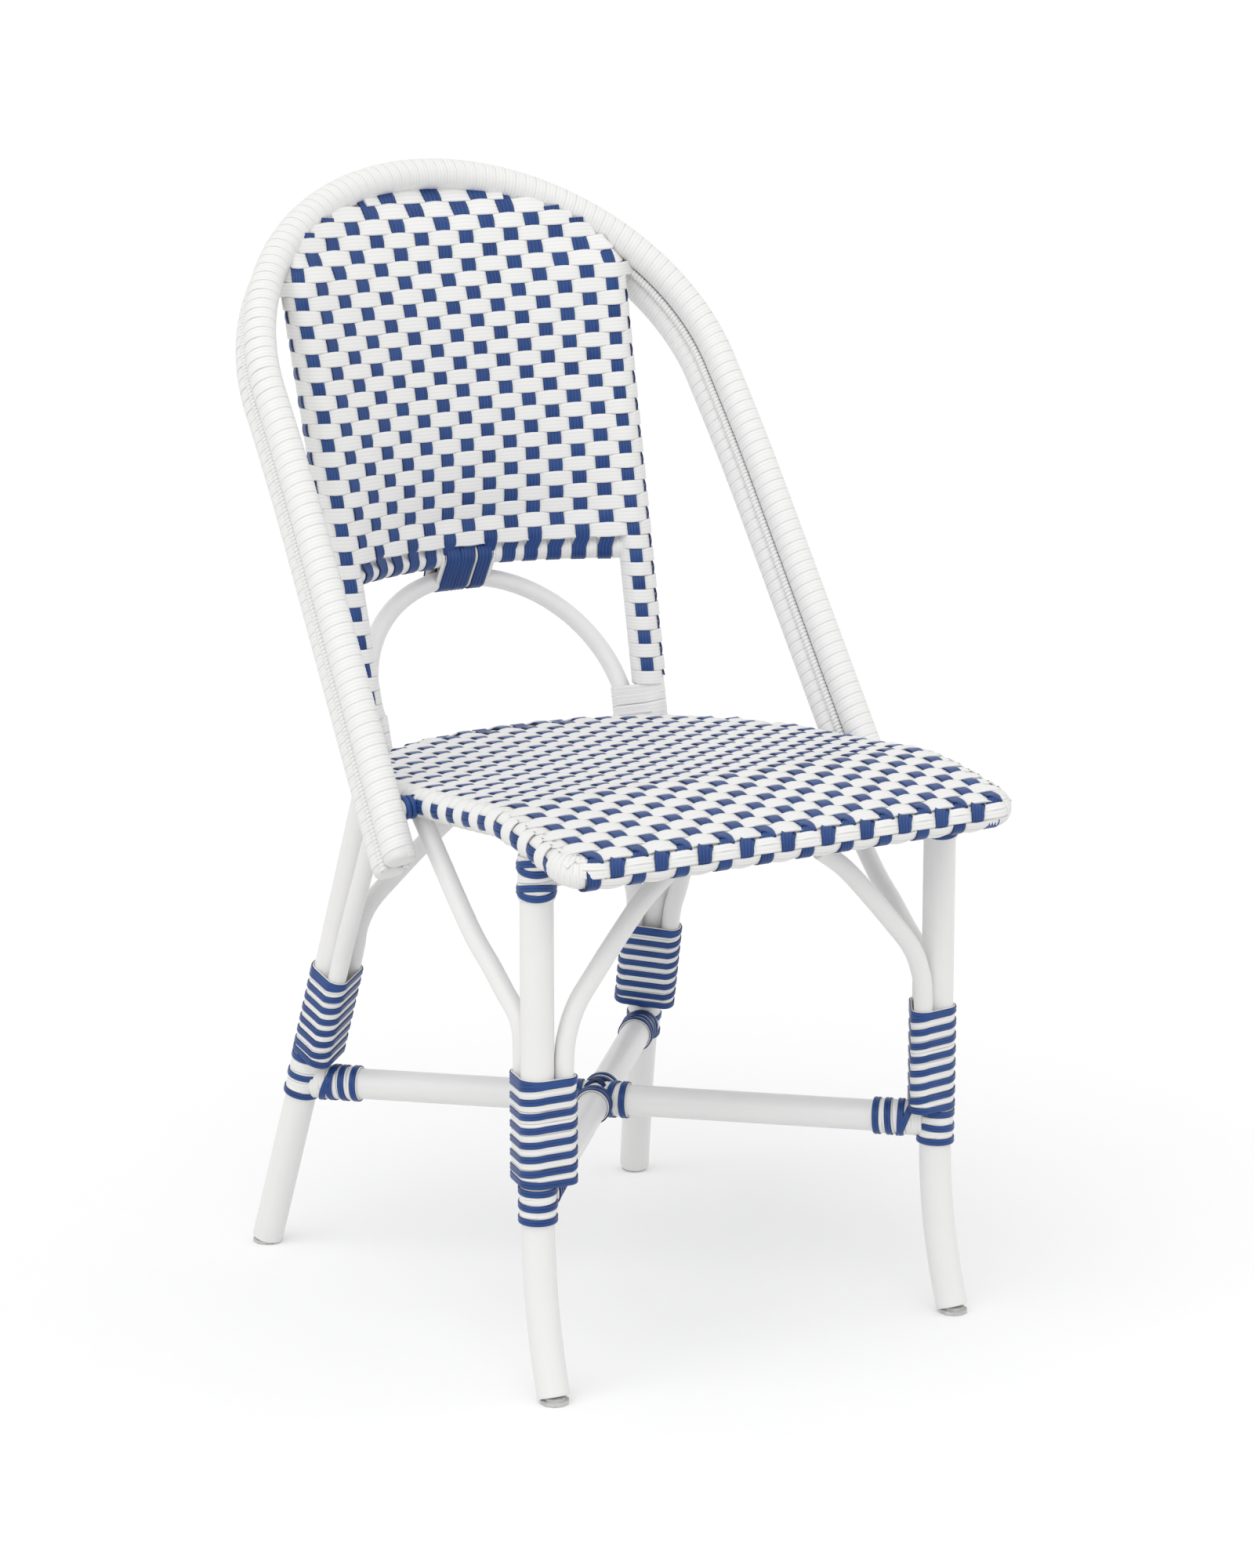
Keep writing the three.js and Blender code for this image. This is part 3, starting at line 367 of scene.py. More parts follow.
    def brace_line(self, is_front: bool, is_side: bool, side: int) -> Array:
        """Return the centre line of a brace from its foot beside a leg up to the seat."""
        inner = [[0.04, 0.17], [0.13, 0.32], [0.29, 0.47], [0.52, 0.67], [0.77, 0.87], [1, 1]]
        beside = [[0.01, 0.11], [0.06, 0.19], [0.17, 0.27], [0.3, 0.37], [0.53, 0.54], [1, 1]]
        foot = self.brace_foot(is_front, is_side, side, self.brace_starts[0 if is_front else 1])
        bend = self.brace_foot(is_front, is_side, side, self.brace_bend_height)
        if not is_side:
            rail = self.leg_at(is_front, side, self.cross_rail_height)
            top = np.array([bend[0] - self.brace_run * side, rail[1], self.rail_peak_height - self.brace_end_drop])
        elif is_front:
            top = np.array([self.seat_half_width * side, 0, self.rail_height(0) - self.side_brace_lift])
        else:
            end = self.back_arc(self.rear_side_brace_angle)
            top = np.array([end[0] * side, end[1], self.rail_height(end[1]) - self.side_brace_lift])
        line = [foot, (foot + bend) / 2, bend]
        for run, rise in beside if is_side else inner:
            share = run if is_front or not is_side else rise
            line.append(bend + (top - bend) * np.array([run, share, rise]))
        return spline(np.array(line), 5)

    def stretcher_end(self, is_front: bool, side: int) -> Array:
        """Return where a stretcher meets a leg's axis."""
        return self.leg_at(is_front, side, self.stretcher_heights[0 if is_front else 1])

    @cached_property
    def crossing(self) -> Array:
        """Return the point where the stretchers cross."""
        a, b = self.stretcher_end(False, -1), self.stretcher_end(True, 1)
        return a + (b - a) * (-a[0] / (b[0] - a[0]))

    def hoop_depth(self, z: Any) -> Array:
        """Return the depth of the front tube at a height."""
        z = np.asarray(z, float)
        start = self.rail_peak_height + (self.hoop_top_height - self.rail_peak_height) * self.hoop_bow_start
        bow = np.maximum(0, (z - start) / (self.hoop_top_height - start))
        return self.hoop_lean * (z - self.rail_peak_height) + self.hoop_top_bow * bow**2 - self.hoop_seat_advance

    def hoop_line(self) -> Array:
        """Return the centre line of the front tube, from the right end over the crown to the left end."""
        z = np.linspace(self.rail_peak_height - self.hoop_end_drop, self.hoop_spring_height, 40)[:-1]
        share = (self.hoop_spring_height - z) / (self.hoop_spring_height - self.rail_peak_height)
        side = stacked(self.hoop_half_width + self.hoop_taper * share, self.hoop_depth(z), z)
        angle = np.radians(np.linspace(0, 90, 49))
        z = self.hoop_spring_height + self.hoop_rise * np.sin(angle)
        arch = stacked(self.hoop_half_width * np.cos(angle), self.hoop_depth(z), z)
        return both_halves(np.vstack([side, arch]))

    def hoop_backwards(self, line: Array) -> Array:
        """Return the direction out of the back of the hoop's leaning face at points of the hoop."""
        slope = (self.hoop_depth(line[:, 2] + 1) - self.hoop_depth(line[:, 2] - 1)) / 2
        return unit(stacked(0, 1, -slope))

    def beside_hoop(self, back: float, inward: float) -> Array:
        """Return the line so far behind the hoop's leaning face and so far inside the hoop."""
        line = self.hoop_line()
        backwards = self.hoop_backwards(line)
        return line + backwards * back + unit(np.cross(tangents(line), backwards)) * inward

    @property
    def hoop_pair_distance(self) -> float:
        """Return the distance between the centre lines of the two tubes."""
        return self.hoop_radius + self.hoop_rear_radius + self.hoop_pair_gap

    def hoop_rear_line(self) -> Array:
        """Return the centre line of the rear tube."""
        back = sqrt(self.hoop_pair_distance**2 - self.hoop_rear_inset**2)
        return self.beside_hoop(back, self.hoop_rear_inset)

    def bead_line(self, inward: int, radius: float) -> Array:
        """Return the line of a round bead that lies in a groove of the two tubes."""
        to_front, to_rear = self.hoop_radius + radius, self.hoop_rear_radius + radius
        pair = self.hoop_pair_distance
        along = (pair**2 + to_front**2 - to_rear**2) / (2 * pair)
        aside = sqrt(to_front**2 - along**2) * inward
        tilt = asin(self.hoop_rear_inset / pair)
        return self.beside_hoop(along * cos(tilt) - aside * sin(tilt), along * sin(tilt) + aside * cos(tilt))

    @cached_property
    def post_ends(self) -> tuple[Array, Array]:
        """Return the base of the right post and the point on the hoop that it aims at."""
        base = self.beside_back_arc(self.post_angle, self.post_offset, self.rail_back_height)
        angle = radians(self.post_top_angle)
        z = self.hoop_spring_height + self.hoop_rise * sin(angle)
        aim = np.array([self.hoop_half_width * cos(angle) - self.post_top_inset,
                        self.hoop_depth(z) - self.post_top_advance, z])
        return base, aim

    def post_at(self, z: Any, side: int = 1) -> Array:
        """Return the point of a post's axis at a height."""
        base, aim = self.post_ends
        share = (np.asarray(z, float) - base[2]) / (aim[2] - base[2])
        return mirrored(base + (aim - base) * share[..., None], side)

    @cached_property
    def groove_top(self) -> Array:
        """Return the middle between the two tubes at the crown."""
        front, rear = self.hoop_line(), self.hoop_rear_line()
        return (front[len(front) // 2] + rear[len(rear) // 2]) / 2

    def back_depth(self, z: Any) -> Array:
        """Return how far the back's middle lies behind the line of its posts at a height."""
        z = np.asarray(z, float)
        crown = self.groove_top
        deepest = crown[1] - self.post_at(crown[2])[1]
        way = 2 * (z - self.back_rail_height) / (crown[2] - self.back_rail_height) - 1
        pull = np.maximum(0, 1 - np.abs(way) ** self.back_dip_power)
        return deepest - self.back_dip * pull * (1 + self.back_dip_skew * way)

    def back_face(self, x: Any, z: Any) -> Array:
        """Return points of the back's face."""
        post = self.post_at(z)
        return stacked(x, post[..., 1] + self.back_depth(z) * (1 - (x / post[..., 0]) ** 2), z)

    def back_rail_line(self) -> Array:
        """Return the centre line of the back's bottom rail."""
        half = self.post_at(self.back_rail_height)[0]
        return self.back_face(np.linspace(-half, half, 41), np.full(41, self.back_rail_height))

    def arch_foot(self, z: Any) -> Array:
        """Return the point of the arch's right foot at a height."""
        return self.post_at(z) + np.array([-self.arch_post_inset, self.arch_post_setback, 0])

    def arch_line(self) -> Array:
        """Return the centre line of the arch below the back."""
        spring = self.rail_peak_height + self.arch_spring_rise
        crown = self.back_face(0.0, np.array(self.back_rail_height))
        crown = crown + np.array([0, self.arch_crown_setback, -self.arch_crown_drop])
        tail = [self.arch_foot(np.array(spring - self.arch_tail * (1 - i / 4))) for i in range(4)]
        foot = self.arch_foot(np.array(spring))
        angle = np.linspace(0, pi / 2, 25)
        curve = foot + (crown - foot) * np.sin(angle)[:, None]
        curve[:, 0] = foot[0] * np.cos(angle)
        return both_halves(np.vstack([tail, curve]))


PLAN = Layout()


def placed(name: str, data: Any) -> Object:
    """Return a new object of the scene."""
    item = bpy.data.objects.new(name, data)
    bpy.context.scene.collection.objects.link(item)
    return item


@dataclass(frozen=True)
class Place:
    """A place on the chair with its own axes, the last of which runs along a pole."""

    origin: Array
    axes: Array

    @classmethod
    def along(cls, origin: Array, direction: Array) -> "Place":
        """Return the place at an origin on a pole of a direction."""
        return cls(np.asarray(origin, float), turned_to(direction))

    def run(self, points: Array, facing: Array, closed: bool = False) -> "Run":
        """Return the run of points and directions that are given in this place's own axes."""
        return Run(points @ self.axes + self.origin, facing @ self.axes, closed=closed)

@dataclass
class Run:
    """One strand, band or pole: its path in layout millimetres, and how it is turned.

    The radius is a pole's own, in millimetres, and a strand's share of its full size.
    """

    points: Array
    facing: Array | None = None
    radius: Array | float = 1.0
    closed: bool = False


class Wrap:
    """Outlines round a bundle of poles, and the paths that cord takes round them."""

    def __init__(self, circles: Sequence[tuple[float, float, float]]) -> None:
        """Keep the poles as (x, y, radius) square to the bundle."""
        self.circles = np.array(circles, float)

    def at(self, angle: Array, offset: float) -> tuple[Array, Array]:
        """Return the outline's points and outward directions at some angles.

        Args:
            angle: directions in radians, seen from inside the bundle.
            offset: how far the outline stands off the poles.

        Returns:
            The points and their outward directions, both square to the bundle.
        """
        ray = stacked(np.cos(angle), np.sin(angle), 0)
        reach = ray[:, :2] @ self.circles[:, :2].T + self.circles[:, 2]
        best = self.circles[np.argmax(reach, axis=1)]
        centre = stacked(best[:, 0], best[:, 1], 0)
        return centre + ray * (best[:, 2:3] + offset), ray

    def helix(self, place: Place, offset: float, bottom: float, turns: float, pitch: float,
              start: float = 0.0) -> Run:
        """Return a cord wound round the bundle.

        Args:
            place: where the bundle stands.
            offset: how far the cord's inner face stands off the poles.
            bottom: where the cord starts along the bundle.
            turns: how many turns it makes.
            pitch: how far one turn climbs.
            start: the angle at which it starts.

        Returns:
            The cord's run.
        """
        angle = np.linspace(0, 2 * pi * turns, int(turns * TURN_STEPS) + 1)
        points, ray = self.at(angle + start, offset)
        points[:, 2] = bottom + pitch * angle / (2 * pi)
        return place.run(points, ray)

    def ring(self, place: Place, offset: float, height: float, tilt: float = 0.0, start: float = 0.0) -> Run:
        """Return a closed turn of cord round the bundle.

        Args:
            place: where the bundle stands.
            offset: how far the cord's inner face stands off the poles.
            height: where it lies along the bundle.
            tilt: how much higher it lies at the start angle, and how much lower across from it.
            start: the angle at which it lies highest.

        Returns:
            The cord's closed run.
        """
        angle = np.arange(TURN_STEPS) * (2 * pi / TURN_STEPS)
        points, ray = self.at(angle, offset)
        points[:, 2] = height + tilt * np.cos(angle - start)
        return place.run(points, ray, True)


class Maker:
    """Turns runs into plain meshes with the two node trees."""

    def __init__(self) -> None:
        """Build the two trees once."""
        self.pole_tree = PoleTree().tree
        self.strand_tree = StrandTree("strand_wrap", False).tree
        self.woven_tree = StrandTree("strand_weave", True).tree

    def _guide(self, name: str, runs: Iterable[Run]) -> Object:
        """Return an object whose edges are the runs, with their radius and facing as attributes."""
        points, edges, facing, radius = [], [], [], []
        total = 0
        for run in runs:
            count = len(run.points)
            points.append(PLAN.metres(run.points))
            index = np.arange(total, total + count - 1)
            edges.append(np.stack([index, index + 1], axis=1))
            if run.closed:
                edges.append(np.array([[total + count - 1, total]]))
            facing.append(run.facing if run.facing is not None else np.tile(UP, (count, 1)))
            radius.append(np.broadcast_to(np.asarray(run.radius, float) / 1000, (count,)))
            total += count
        mesh = bpy.data.meshes.new(name)
        mesh.from_pydata(np.vstack(points).tolist(), np.vstack(edges).tolist(), [])
        for word, kind, key, values in (("facing", "FLOAT_VECTOR", "vector", np.vstack(facing)),
                                        ("radius", "FLOAT", "value", np.concatenate(radius))):
            store = mesh.attributes.new(word, kind, "POINT")
            store.data.foreach_set(key, values.astype(np.float32).ravel())
        return placed(name, mesh)

    def shaped(self, name: str, runs: Iterable[Run], tree: NodeTree, **values: Any) -> Object:
        """Return a tree's result along some runs as a plain mesh.

        Args:
            name: the object's name.
            runs: the paths that the tree follows.
            tree: the node tree that makes the shape.
            **values: the tree's inputs by their names.

        Returns:
            The object, without a modifier.
        """
        guide = self._guide(name, runs)
        modifier = guide.modifiers.new(tree.name, "NODES")
        modifier.node_group = tree
        for item in tree.interface.items_tree:
            if item.item_type == "SOCKET" and item.in_out == "INPUT" and item.name in values:
                modifier[item.identifier] = values[item.name]
        result = guide.evaluated_get(bpy.context.evaluated_depsgraph_get())
        mesh = bpy.data.meshes.new_from_object(result)
        mesh.name = guide.name
        guide.modifiers.clear()
        old = guide.data
        guide.data = mesh
        bpy.data.meshes.remove(old)
        self._face_outwards(mesh)
        return guide

    def _face_outwards(self, mesh: Mesh) -> None:
        """Turn a closed mesh's faces outwards where they point in."""
        mesh.calc_loop_triangles()
        corners = np.empty(3 * len(mesh.loop_triangles), np.int32)
        mesh.loop_triangles.foreach_get("vertices", corners)
        places = np.empty(3 * len(mesh.vertices), np.float32)
        mesh.vertices.foreach_get("co", places)
        a, b, c = places.reshape(-1, 3)[corners.reshape(-1, 3)].astype(float).transpose(1, 0, 2)
        if np.einsum("ij,ij->i", a, np.cross(b, c)).sum() < 0:
            mesh.flip_normals()

class Nodes:
    """A node tree with one method that makes its nodes."""

    def __init__(self, tree: NodeTree) -> None:
        """Keep the tree."""
        self.tree = tree

    def node(self, kind: str, settings: dict[str, Any] | None = None, **values: Any) -> Node:
        """Make a node.

        Args:
            kind: the node's type.
            settings: its properties, which are set first.
            values: values or links of its inputs, by name with _ for a space, or by in and a number.

        Returns:
            The new node.
        """
        node = self.tree.nodes.new(kind)
        for key, value in (settings or {}).items():
            setattr(node, key, value)
        for key, value in values.items():
            if key.startswith("in") and key[2:].isdigit():
                socket = node.inputs[int(key[2:])]
            else:
                socket = node.inputs[key.replace("_", " ")]
            if isinstance(value, Socket):
                self.tree.links.new(value.socket, socket)
            elif isinstance(value, NodeSocket):
                self.tree.links.new(value, socket)
            else:
                socket.default_value = value
        return node


class ShapeTree(Nodes):
    """A Geometry Nodes tree with named inputs."""

    def __init__(self, name: str) -> None:
        """Make the empty tree with its ends."""
        super().__init__(bpy.data.node_groups.new(name, "GeometryNodeTree"))
        for end in ("INPUT", "OUTPUT"):
            self.tree.interface.new_socket("Geometry", in_out=end, socket_type="NodeSocketGeometry")
        self.inputs = self.tree.nodes.new("NodeGroupInput")

    def value(self, name: str, kind: str) -> "Socket":
        """Add a named input to the tree and return its socket."""
        self.tree.interface.new_socket(name, in_out="INPUT", socket_type="NodeSocket" + kind)
        return Socket(self, self.inputs.outputs[name])

    def step(self, kind: str, settings: dict[str, Any] | None = None, **values: Any) -> NodeSocket:
        """Make a geometry node in the way of node(), and return its first output."""
        return self.node("GeometryNode" + kind, settings, **values).outputs[0]

    def attribute(self, name: str, kind: str = "FLOAT") -> "Socket":
        """Return a named attribute of the geometry."""
        return Socket(self, self.step("InputNamedAttribute", {"data_type": kind}, Name=name))

    def kept(self, geometry: Any, name: str, value: "Socket | str") -> Any:
        """Return the geometry with a value, or an output of Spline Parameter, stored on its points."""
        if isinstance(value, str):
            value = Socket(self, self.node("GeometryNodeSplineParameter").outputs[value])
        settings = {"data_type": "FLOAT", "domain": "POINT"}
        return self.step("StoreNamedAttribute", settings, Geometry=geometry, Name=name, Value=value)

    def finish(self, curve: Any, profile: Any, scale: "Socket", material: "Socket") -> None:
        """End the tree: the profile swept along the curve as real geometry, smooth and dressed."""
        shape = self.step("CurveToMesh", Curve=curve, Profile_Curve=profile, Scale=scale, Fill_Caps=True)
        shape = self.step("SetShadeSmooth", Geometry=self.step("RealizeInstances", Geometry=shape))
        self.node("NodeGroupOutput", in0=self.step("SetMaterial", Geometry=shape, Material=material))


def operation(name: str) -> Callable[..., "Socket"]:
    """Return a method that makes a Math node from a socket and other values."""

    def apply(self: "Socket", *others: Any) -> "Socket":
        """Return the Math node's result."""
        inputs = {f"in{i}": value for i, value in enumerate((self, *others))}
        return Socket(self.owner, self.owner.node("ShaderNodeMath", {"operation": name}, **inputs).outputs[0])

    return apply


class Socket:
    """A node's socket that takes part in Python sums."""

    __add__ = __radd__ = operation("ADD")
    __mul__ = __rmul__ = operation("MULTIPLY")
    __sub__ = operation("SUBTRACT")
    __truediv__ = operation("DIVIDE")
    __pow__ = operation("POWER")
    __gt__ = operation("GREATER_THAN")
    __lt__ = operation("LESS_THAN")
    sine = operation("SINE")
    size = operation("ABSOLUTE")
    least = operation("MINIMUM")
    most = operation("MAXIMUM")

    def __init__(self, owner: Any, socket: NodeSocket) -> None:
        """Keep the socket and the tree or material that it belongs to."""
        self.owner = owner
        self.socket = socket

    def __rsub__(self, other: Any) -> "Socket":
        """Return the difference from another value."""
        return self * -1 + other

    def limited(self) -> "Socket":
        """Return the value kept between 0 and 1."""
        return self.most(0.0).least(1.0)


class PoleTree(ShapeTree):
    """Round poles that follow the edges of a guide, as thick as its radius attribute says."""

    def __init__(self) -> None:
        """Build the tree."""
        super().__init__("pole_sweep")
        sides, material = self.value("Sides", "Int"), self.value("Material", "Material")
        curve = self.step("MeshToCurve", Mesh=self.inputs.outputs["Geometry"])
        circle = self.step("CurvePrimitiveCircle", Resolution=sides, Radius=1.0)
        self.finish(self.kept(curve, "along", "Length"), self.kept(circle, "around", "Factor"),
                    self.attribute("radius"), material)


class StrandTree(ShapeTree):
    """Flat bands of strands that follow the edges of a guide and face where its facing attribute says."""

    def __init__(self, name: str, is_double: bool) -> None:
        """Build the tree.

        Args:
            name: the tree's name.
            is_double: whether the guide is the band's middle and both faces show strands, or the guide is the
                flat inner face.
        """
        super().__init__(name)
        width, thickness, groove = (self.value(word, "Float") for word in ("Width", "Thickness", "Groove"))
        strands, steps = self.value("Strands", "Int"), self.value("Steps", "Int")
        material = self.value("Material", "Material")
        curve = self.step("MeshToCurve", Mesh=self.inputs.outputs["Geometry"])
        curve = self.step("SetCurveNormal", {"mode": "FREE"}, Curve=curve,
                          Normal=self.attribute("facing", "FLOAT_VECTOR"))
        total = strands * steps
        line = self.step("ResampleCurve", Curve=self.step("CurvePrimitiveLine"),
                         Count=total * 2 + 2 if is_double else total + 3)
        index = Socket(self, self.step("InputIndex"))
        if is_double:
            behind = index > total + 0.5
            across = (index * (1 - behind) + (total * 2 + 1 - index) * behind) / total
            lift = (1 - 2 * behind) * 0.5
        else:
            across = (index - 1) / total
            lift = (across > -0.0001) * (across < 1.0001)
            across = across.limited()
        # crest is also the mask of the painted shade in the strand finishes: 0 in the grooves between strands, where
        # they are darkened.
        crest = (across * strands * pi).sine().size()
        height = lift * thickness * (1 - groove * (1 - crest))
        line = self.kept(self.kept(line, "across", across), "crest", crest)
        place = self.node("ShaderNodeCombineXYZ", X=height, Y=(0.5 - across) * width).outputs[0]
        line = self.step("SetPosition", Geometry=line, Position=place)
        line = self.step("SetSplineCyclic", Geometry=line, Cyclic=True)
        self.finish(self.kept(curve, "along", "Length"), line, self.attribute("radius") * 1000, material)


class Finish(Nodes):
    """A material whose nodes end in one Principled shader."""

    def __init__(self, name: str) -> None:
        """Make the empty material."""
        self.material = bpy.data.materials.new(name)
        self.material.use_nodes = True
        super().__init__(self.material.node_tree)
        self.tree.nodes.clear()

    def attribute(self, name: str) -> Socket:
        """Return a number that the surface carries under a name."""
        return Socket(self, self.node("ShaderNodeAttribute", {"attribute_name": name}).outputs["Fac"])

    def place(self) -> NodeSocket:
        """Return the place on the object in metres."""
        return self.node("ShaderNodeTexCoord").outputs["Object"]

    def vector(self, x: Any, y: Any, z: Any) -> NodeSocket:
        """Return a vector of three values."""
        return self.node("ShaderNodeCombineXYZ", X=x, Y=y, Z=z).outputs[0]

    def noise(self, where: NodeSocket, scale: float, detail: float = 2.0) -> Socket:
        """Return smooth noise between 0 and 1."""
        node = self.node("ShaderNodeTexNoise", Vector=where, Scale=scale, Detail=detail)
        return Socket(self, node.outputs["Fac"])

    def mix(self, share: Any, low: Any, high: Any) -> NodeSocket:
        """Return a colour between two colours."""
        node = self.node("ShaderNodeMix", {"data_type": "RGBA"}, in0=share, in6=low, in7=high)
        return node.outputs[2]

    def bump(self, height: Socket, distance: float, strength: float) -> NodeSocket:
        """Return a normal that is bent by a height."""
        return self.node("ShaderNodeBump", Height=height, Distance=distance, Strength=strength).outputs[0]

    def dressed(self, colour: Any, roughness: Any, normal: Any, specular: float) -> Material:
        """End the material in its shader.

        Args:
            colour: the base colour.
            roughness: the roughness.
            normal: the bent normal.
            specular: the strength of its gloss, the same all over.

        Returns:
            The finished material.
        """
        shader = self.node("ShaderNodeBsdfPrincipled", Base_Color=colour, Roughness=roughness, Normal=normal)
        shader.inputs["Specular IOR Level"].default_value = specular
        self.node("ShaderNodeOutputMaterial", Surface=shader.outputs[0])
        return self.material


def tone(red: float, green: float, blue: float) -> Colour:
    """Return a colour with full cover."""
    return red, green, blue, 1.0


@dataclass(frozen=True)
class StrandFinish:
    """Extruded strand: satin, with fine lines along it, painted shade that darkens it in the grooves between strands
    and towards the band's edges, and slight differences of tone.
    """

    name: str
    crest: Colour
    # painted shade: the colour in the grooves between strands and at the band's edges, where shade falls
    groove: Colour
    worn: Colour
    roughness: float
    specular: float = 0.28
    line_depth: float = 0.00007

    def build(self) -> Material:
        """Return the material."""
        book = Finish(self.name)
        along, across = book.attribute("along"), book.attribute("across")
        crest = book.attribute("crest")
        place = book.place()
        lines = book.noise(book.vector(along * 9.0, across * 46.0, 0.0), 1.0, 3.0)
        patches = book.noise(place, 38.0)
        grain = book.noise(place, 900.0, 1.0)
        # Painted shade: the colour falls from the crest colour to the groove colour in the grooves between strands,
        # and further towards the band's edges.
        edge = (across * (1 - across) * 4.0).limited()
        rise = (crest.most(0.0) ** 0.55) * (0.75 + 0.25 * edge ** 0.35)
        colour = book.mix(rise, self.groove, self.crest)
        colour = book.mix((patches * lines * 1.15 - 0.16).limited(), colour, self.worn)
        rough = (lines - 0.5) * 0.16 + (patches - 0.5) * 0.12 + self.roughness
        normal = book.bump(lines * 0.75 + grain * 0.25, self.line_depth, 0.8)
        return book.dressed(colour, rough, normal, self.specular)


@dataclass(frozen=True)
class PaintFinish:
    """Satin near-white paint on smooth poles, with faint brush lines along them and a soft mottle."""

    name: str = "pole_paint"
    light: Colour = tone(0.88, 0.876, 0.866)
    shade: Colour = tone(0.835, 0.83, 0.822)
    roughness: float = 0.36

    def build(self) -> Material:
        """Return the material."""
        book = Finish(self.name)
        along, around = book.attribute("along"), book.attribute("around")
        angle = around * (2 * pi)
        ring = book.vector(angle.sine() * 5.0, (angle + pi / 2).sine() * 5.0, along * 7.0)
        brushed, place = book.noise(ring, 1.4, 3.0), book.place()
        mottle, grain = book.noise(place, 22.0), book.noise(place, 520.0, 1.0)
        share = (mottle * 0.8 + brushed * 0.5 - 0.25).limited()
        colour = book.mix(share, self.shade, self.light)
        rough = (brushed - 0.5) * 0.14 + (mottle - 0.5) * 0.1 + self.roughness
        normal = book.bump(brushed * 0.8 + grain * 0.2, 0.00016, 0.5)
        return book.dressed(colour, rough, normal, 0.45)


@dataclass(frozen=True)
class GlideFinish:
    """Grey moulded plastic with a fine matt grain and scuffs near the floor."""

    name: str = "glide_plastic"
    clean: Colour = tone(0.6, 0.6, 0.585)
    scuffed: Colour = tone(0.42, 0.42, 0.41)

    def build(self) -> Material:
        """Return the material."""
        book = Finish(self.name)
        place = book.place()
        scuff, grain = book.noise(place, 160.0, 4.0), book.noise(place, 1400.0, 1.0)
        share = ((scuff - 0.45) * 4.0).limited()
        return book.dressed(book.mix(share * 0.6, self.clean, self.scuffed), scuff * 0.2 + 0.45,
                            book.bump(grain * 0.6 + scuff * 0.4, 0.00012, 0.7), 0.35)


class Kind(Enum):
    """The finishes of the chair, by the slot that each stands for in the record."""

    PAINT = "paint"
    WOVEN = "woven_cord"
    WHITE = "white_cord"
    NAVY = "navy_cord"
    GLIDE = "glide"


@dataclass
class Workshop:
    """Makes finished pieces: keeps the shape trees, the finishes and the count of pieces."""

    maker: Maker = field(default_factory=Maker)
    finishes: dict[Kind, Material] = field(default_factory=dict)
    pieces: int = 0

    def __post_init__(self) -> None:
        """Build the finishes."""
        # Each set is crest colour, groove colour and worn tone; the groove colour is painted shade for the grooves
        # between strands and the band's edges.
        white = (tone(0.9, 0.896, 0.885), tone(0.8, 0.798, 0.79), tone(0.85, 0.844, 0.83))
        navy = (tone(0.02, 0.068, 0.25), tone(0.004, 0.014, 0.07), tone(0.055, 0.14, 0.4))
        self.finishes = {
            Kind.PAINT: PaintFinish().build(),
            Kind.WOVEN: StrandFinish("woven_white", *white, roughness=0.4).build(),
            Kind.WHITE: StrandFinish("wound_white", *white, roughness=0.36).build(),
            Kind.NAVY: StrandFinish("navy_strand", *navy, roughness=0.34).build(),
            Kind.GLIDE: GlideFinish().build(),
        }

    def finished(self, piece: Object, kind: Kind, *replaced: str) -> Object:
        """Hand a piece in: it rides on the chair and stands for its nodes.

        Args:
            piece: the finished object.
            kind: its finish.
            *replaced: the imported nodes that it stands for.

        Returns:
            The same object.
        """
        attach(piece, "root")
        if replaced:
            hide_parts(*replaced)
        self.pieces += 1
        LOG.info("%s: %d faces, %s", piece.name, len(piece.data.polygons), kind.value)
        return piece

    def pole(self, name: str, runs: Sequence[Run], *replaced: str, sides: int = 40,
             kind: Kind = Kind.PAINT) -> Object:
        """Return a finished piece of round poles."""
        piece = self.maker.shaped(name, runs, self.maker.pole_tree, Sides=sides, Material=self.finishes[kind])
        return self.finished(piece, kind, *replaced)

    def strand(self, name: str, runs: Sequence[Run], kind: Kind, *replaced: str, width: float, thickness: float,
               ridges: int = 1, groove: float = 0.35, detail: int = 2, slot: Kind | None = None,
               is_woven: bool = False) -> Object:
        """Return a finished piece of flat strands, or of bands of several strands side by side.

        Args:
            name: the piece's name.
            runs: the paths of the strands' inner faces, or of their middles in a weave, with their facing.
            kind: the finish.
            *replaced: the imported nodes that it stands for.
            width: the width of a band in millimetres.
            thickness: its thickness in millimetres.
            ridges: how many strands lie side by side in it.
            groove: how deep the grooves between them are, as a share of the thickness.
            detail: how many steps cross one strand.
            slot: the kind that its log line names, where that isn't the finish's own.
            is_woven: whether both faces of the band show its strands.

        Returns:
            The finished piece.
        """
        tree = self.maker.woven_tree if is_woven else self.maker.strand_tree
        piece = self.maker.shaped(name, runs, tree, Width=width / 1000, Thickness=thickness / 1000,
                                  Strands=ridges, Groove=groove, Steps=detail, Material=self.finishes[kind])
        return self.finished(piece, slot or kind, *replaced)

    def band(self, name: str, runs: Sequence[Run], kind: Kind, *replaced: str, ridges: int = 4,
             groove: float = 0.22, **shape: float) -> Object:
        """Return a finished piece of woven bands, logged as woven cord."""
        return self.strand(name, runs, kind, *replaced, slot=Kind.WOVEN, ridges=ridges, groove=groove,
                           is_woven=True, **shape)


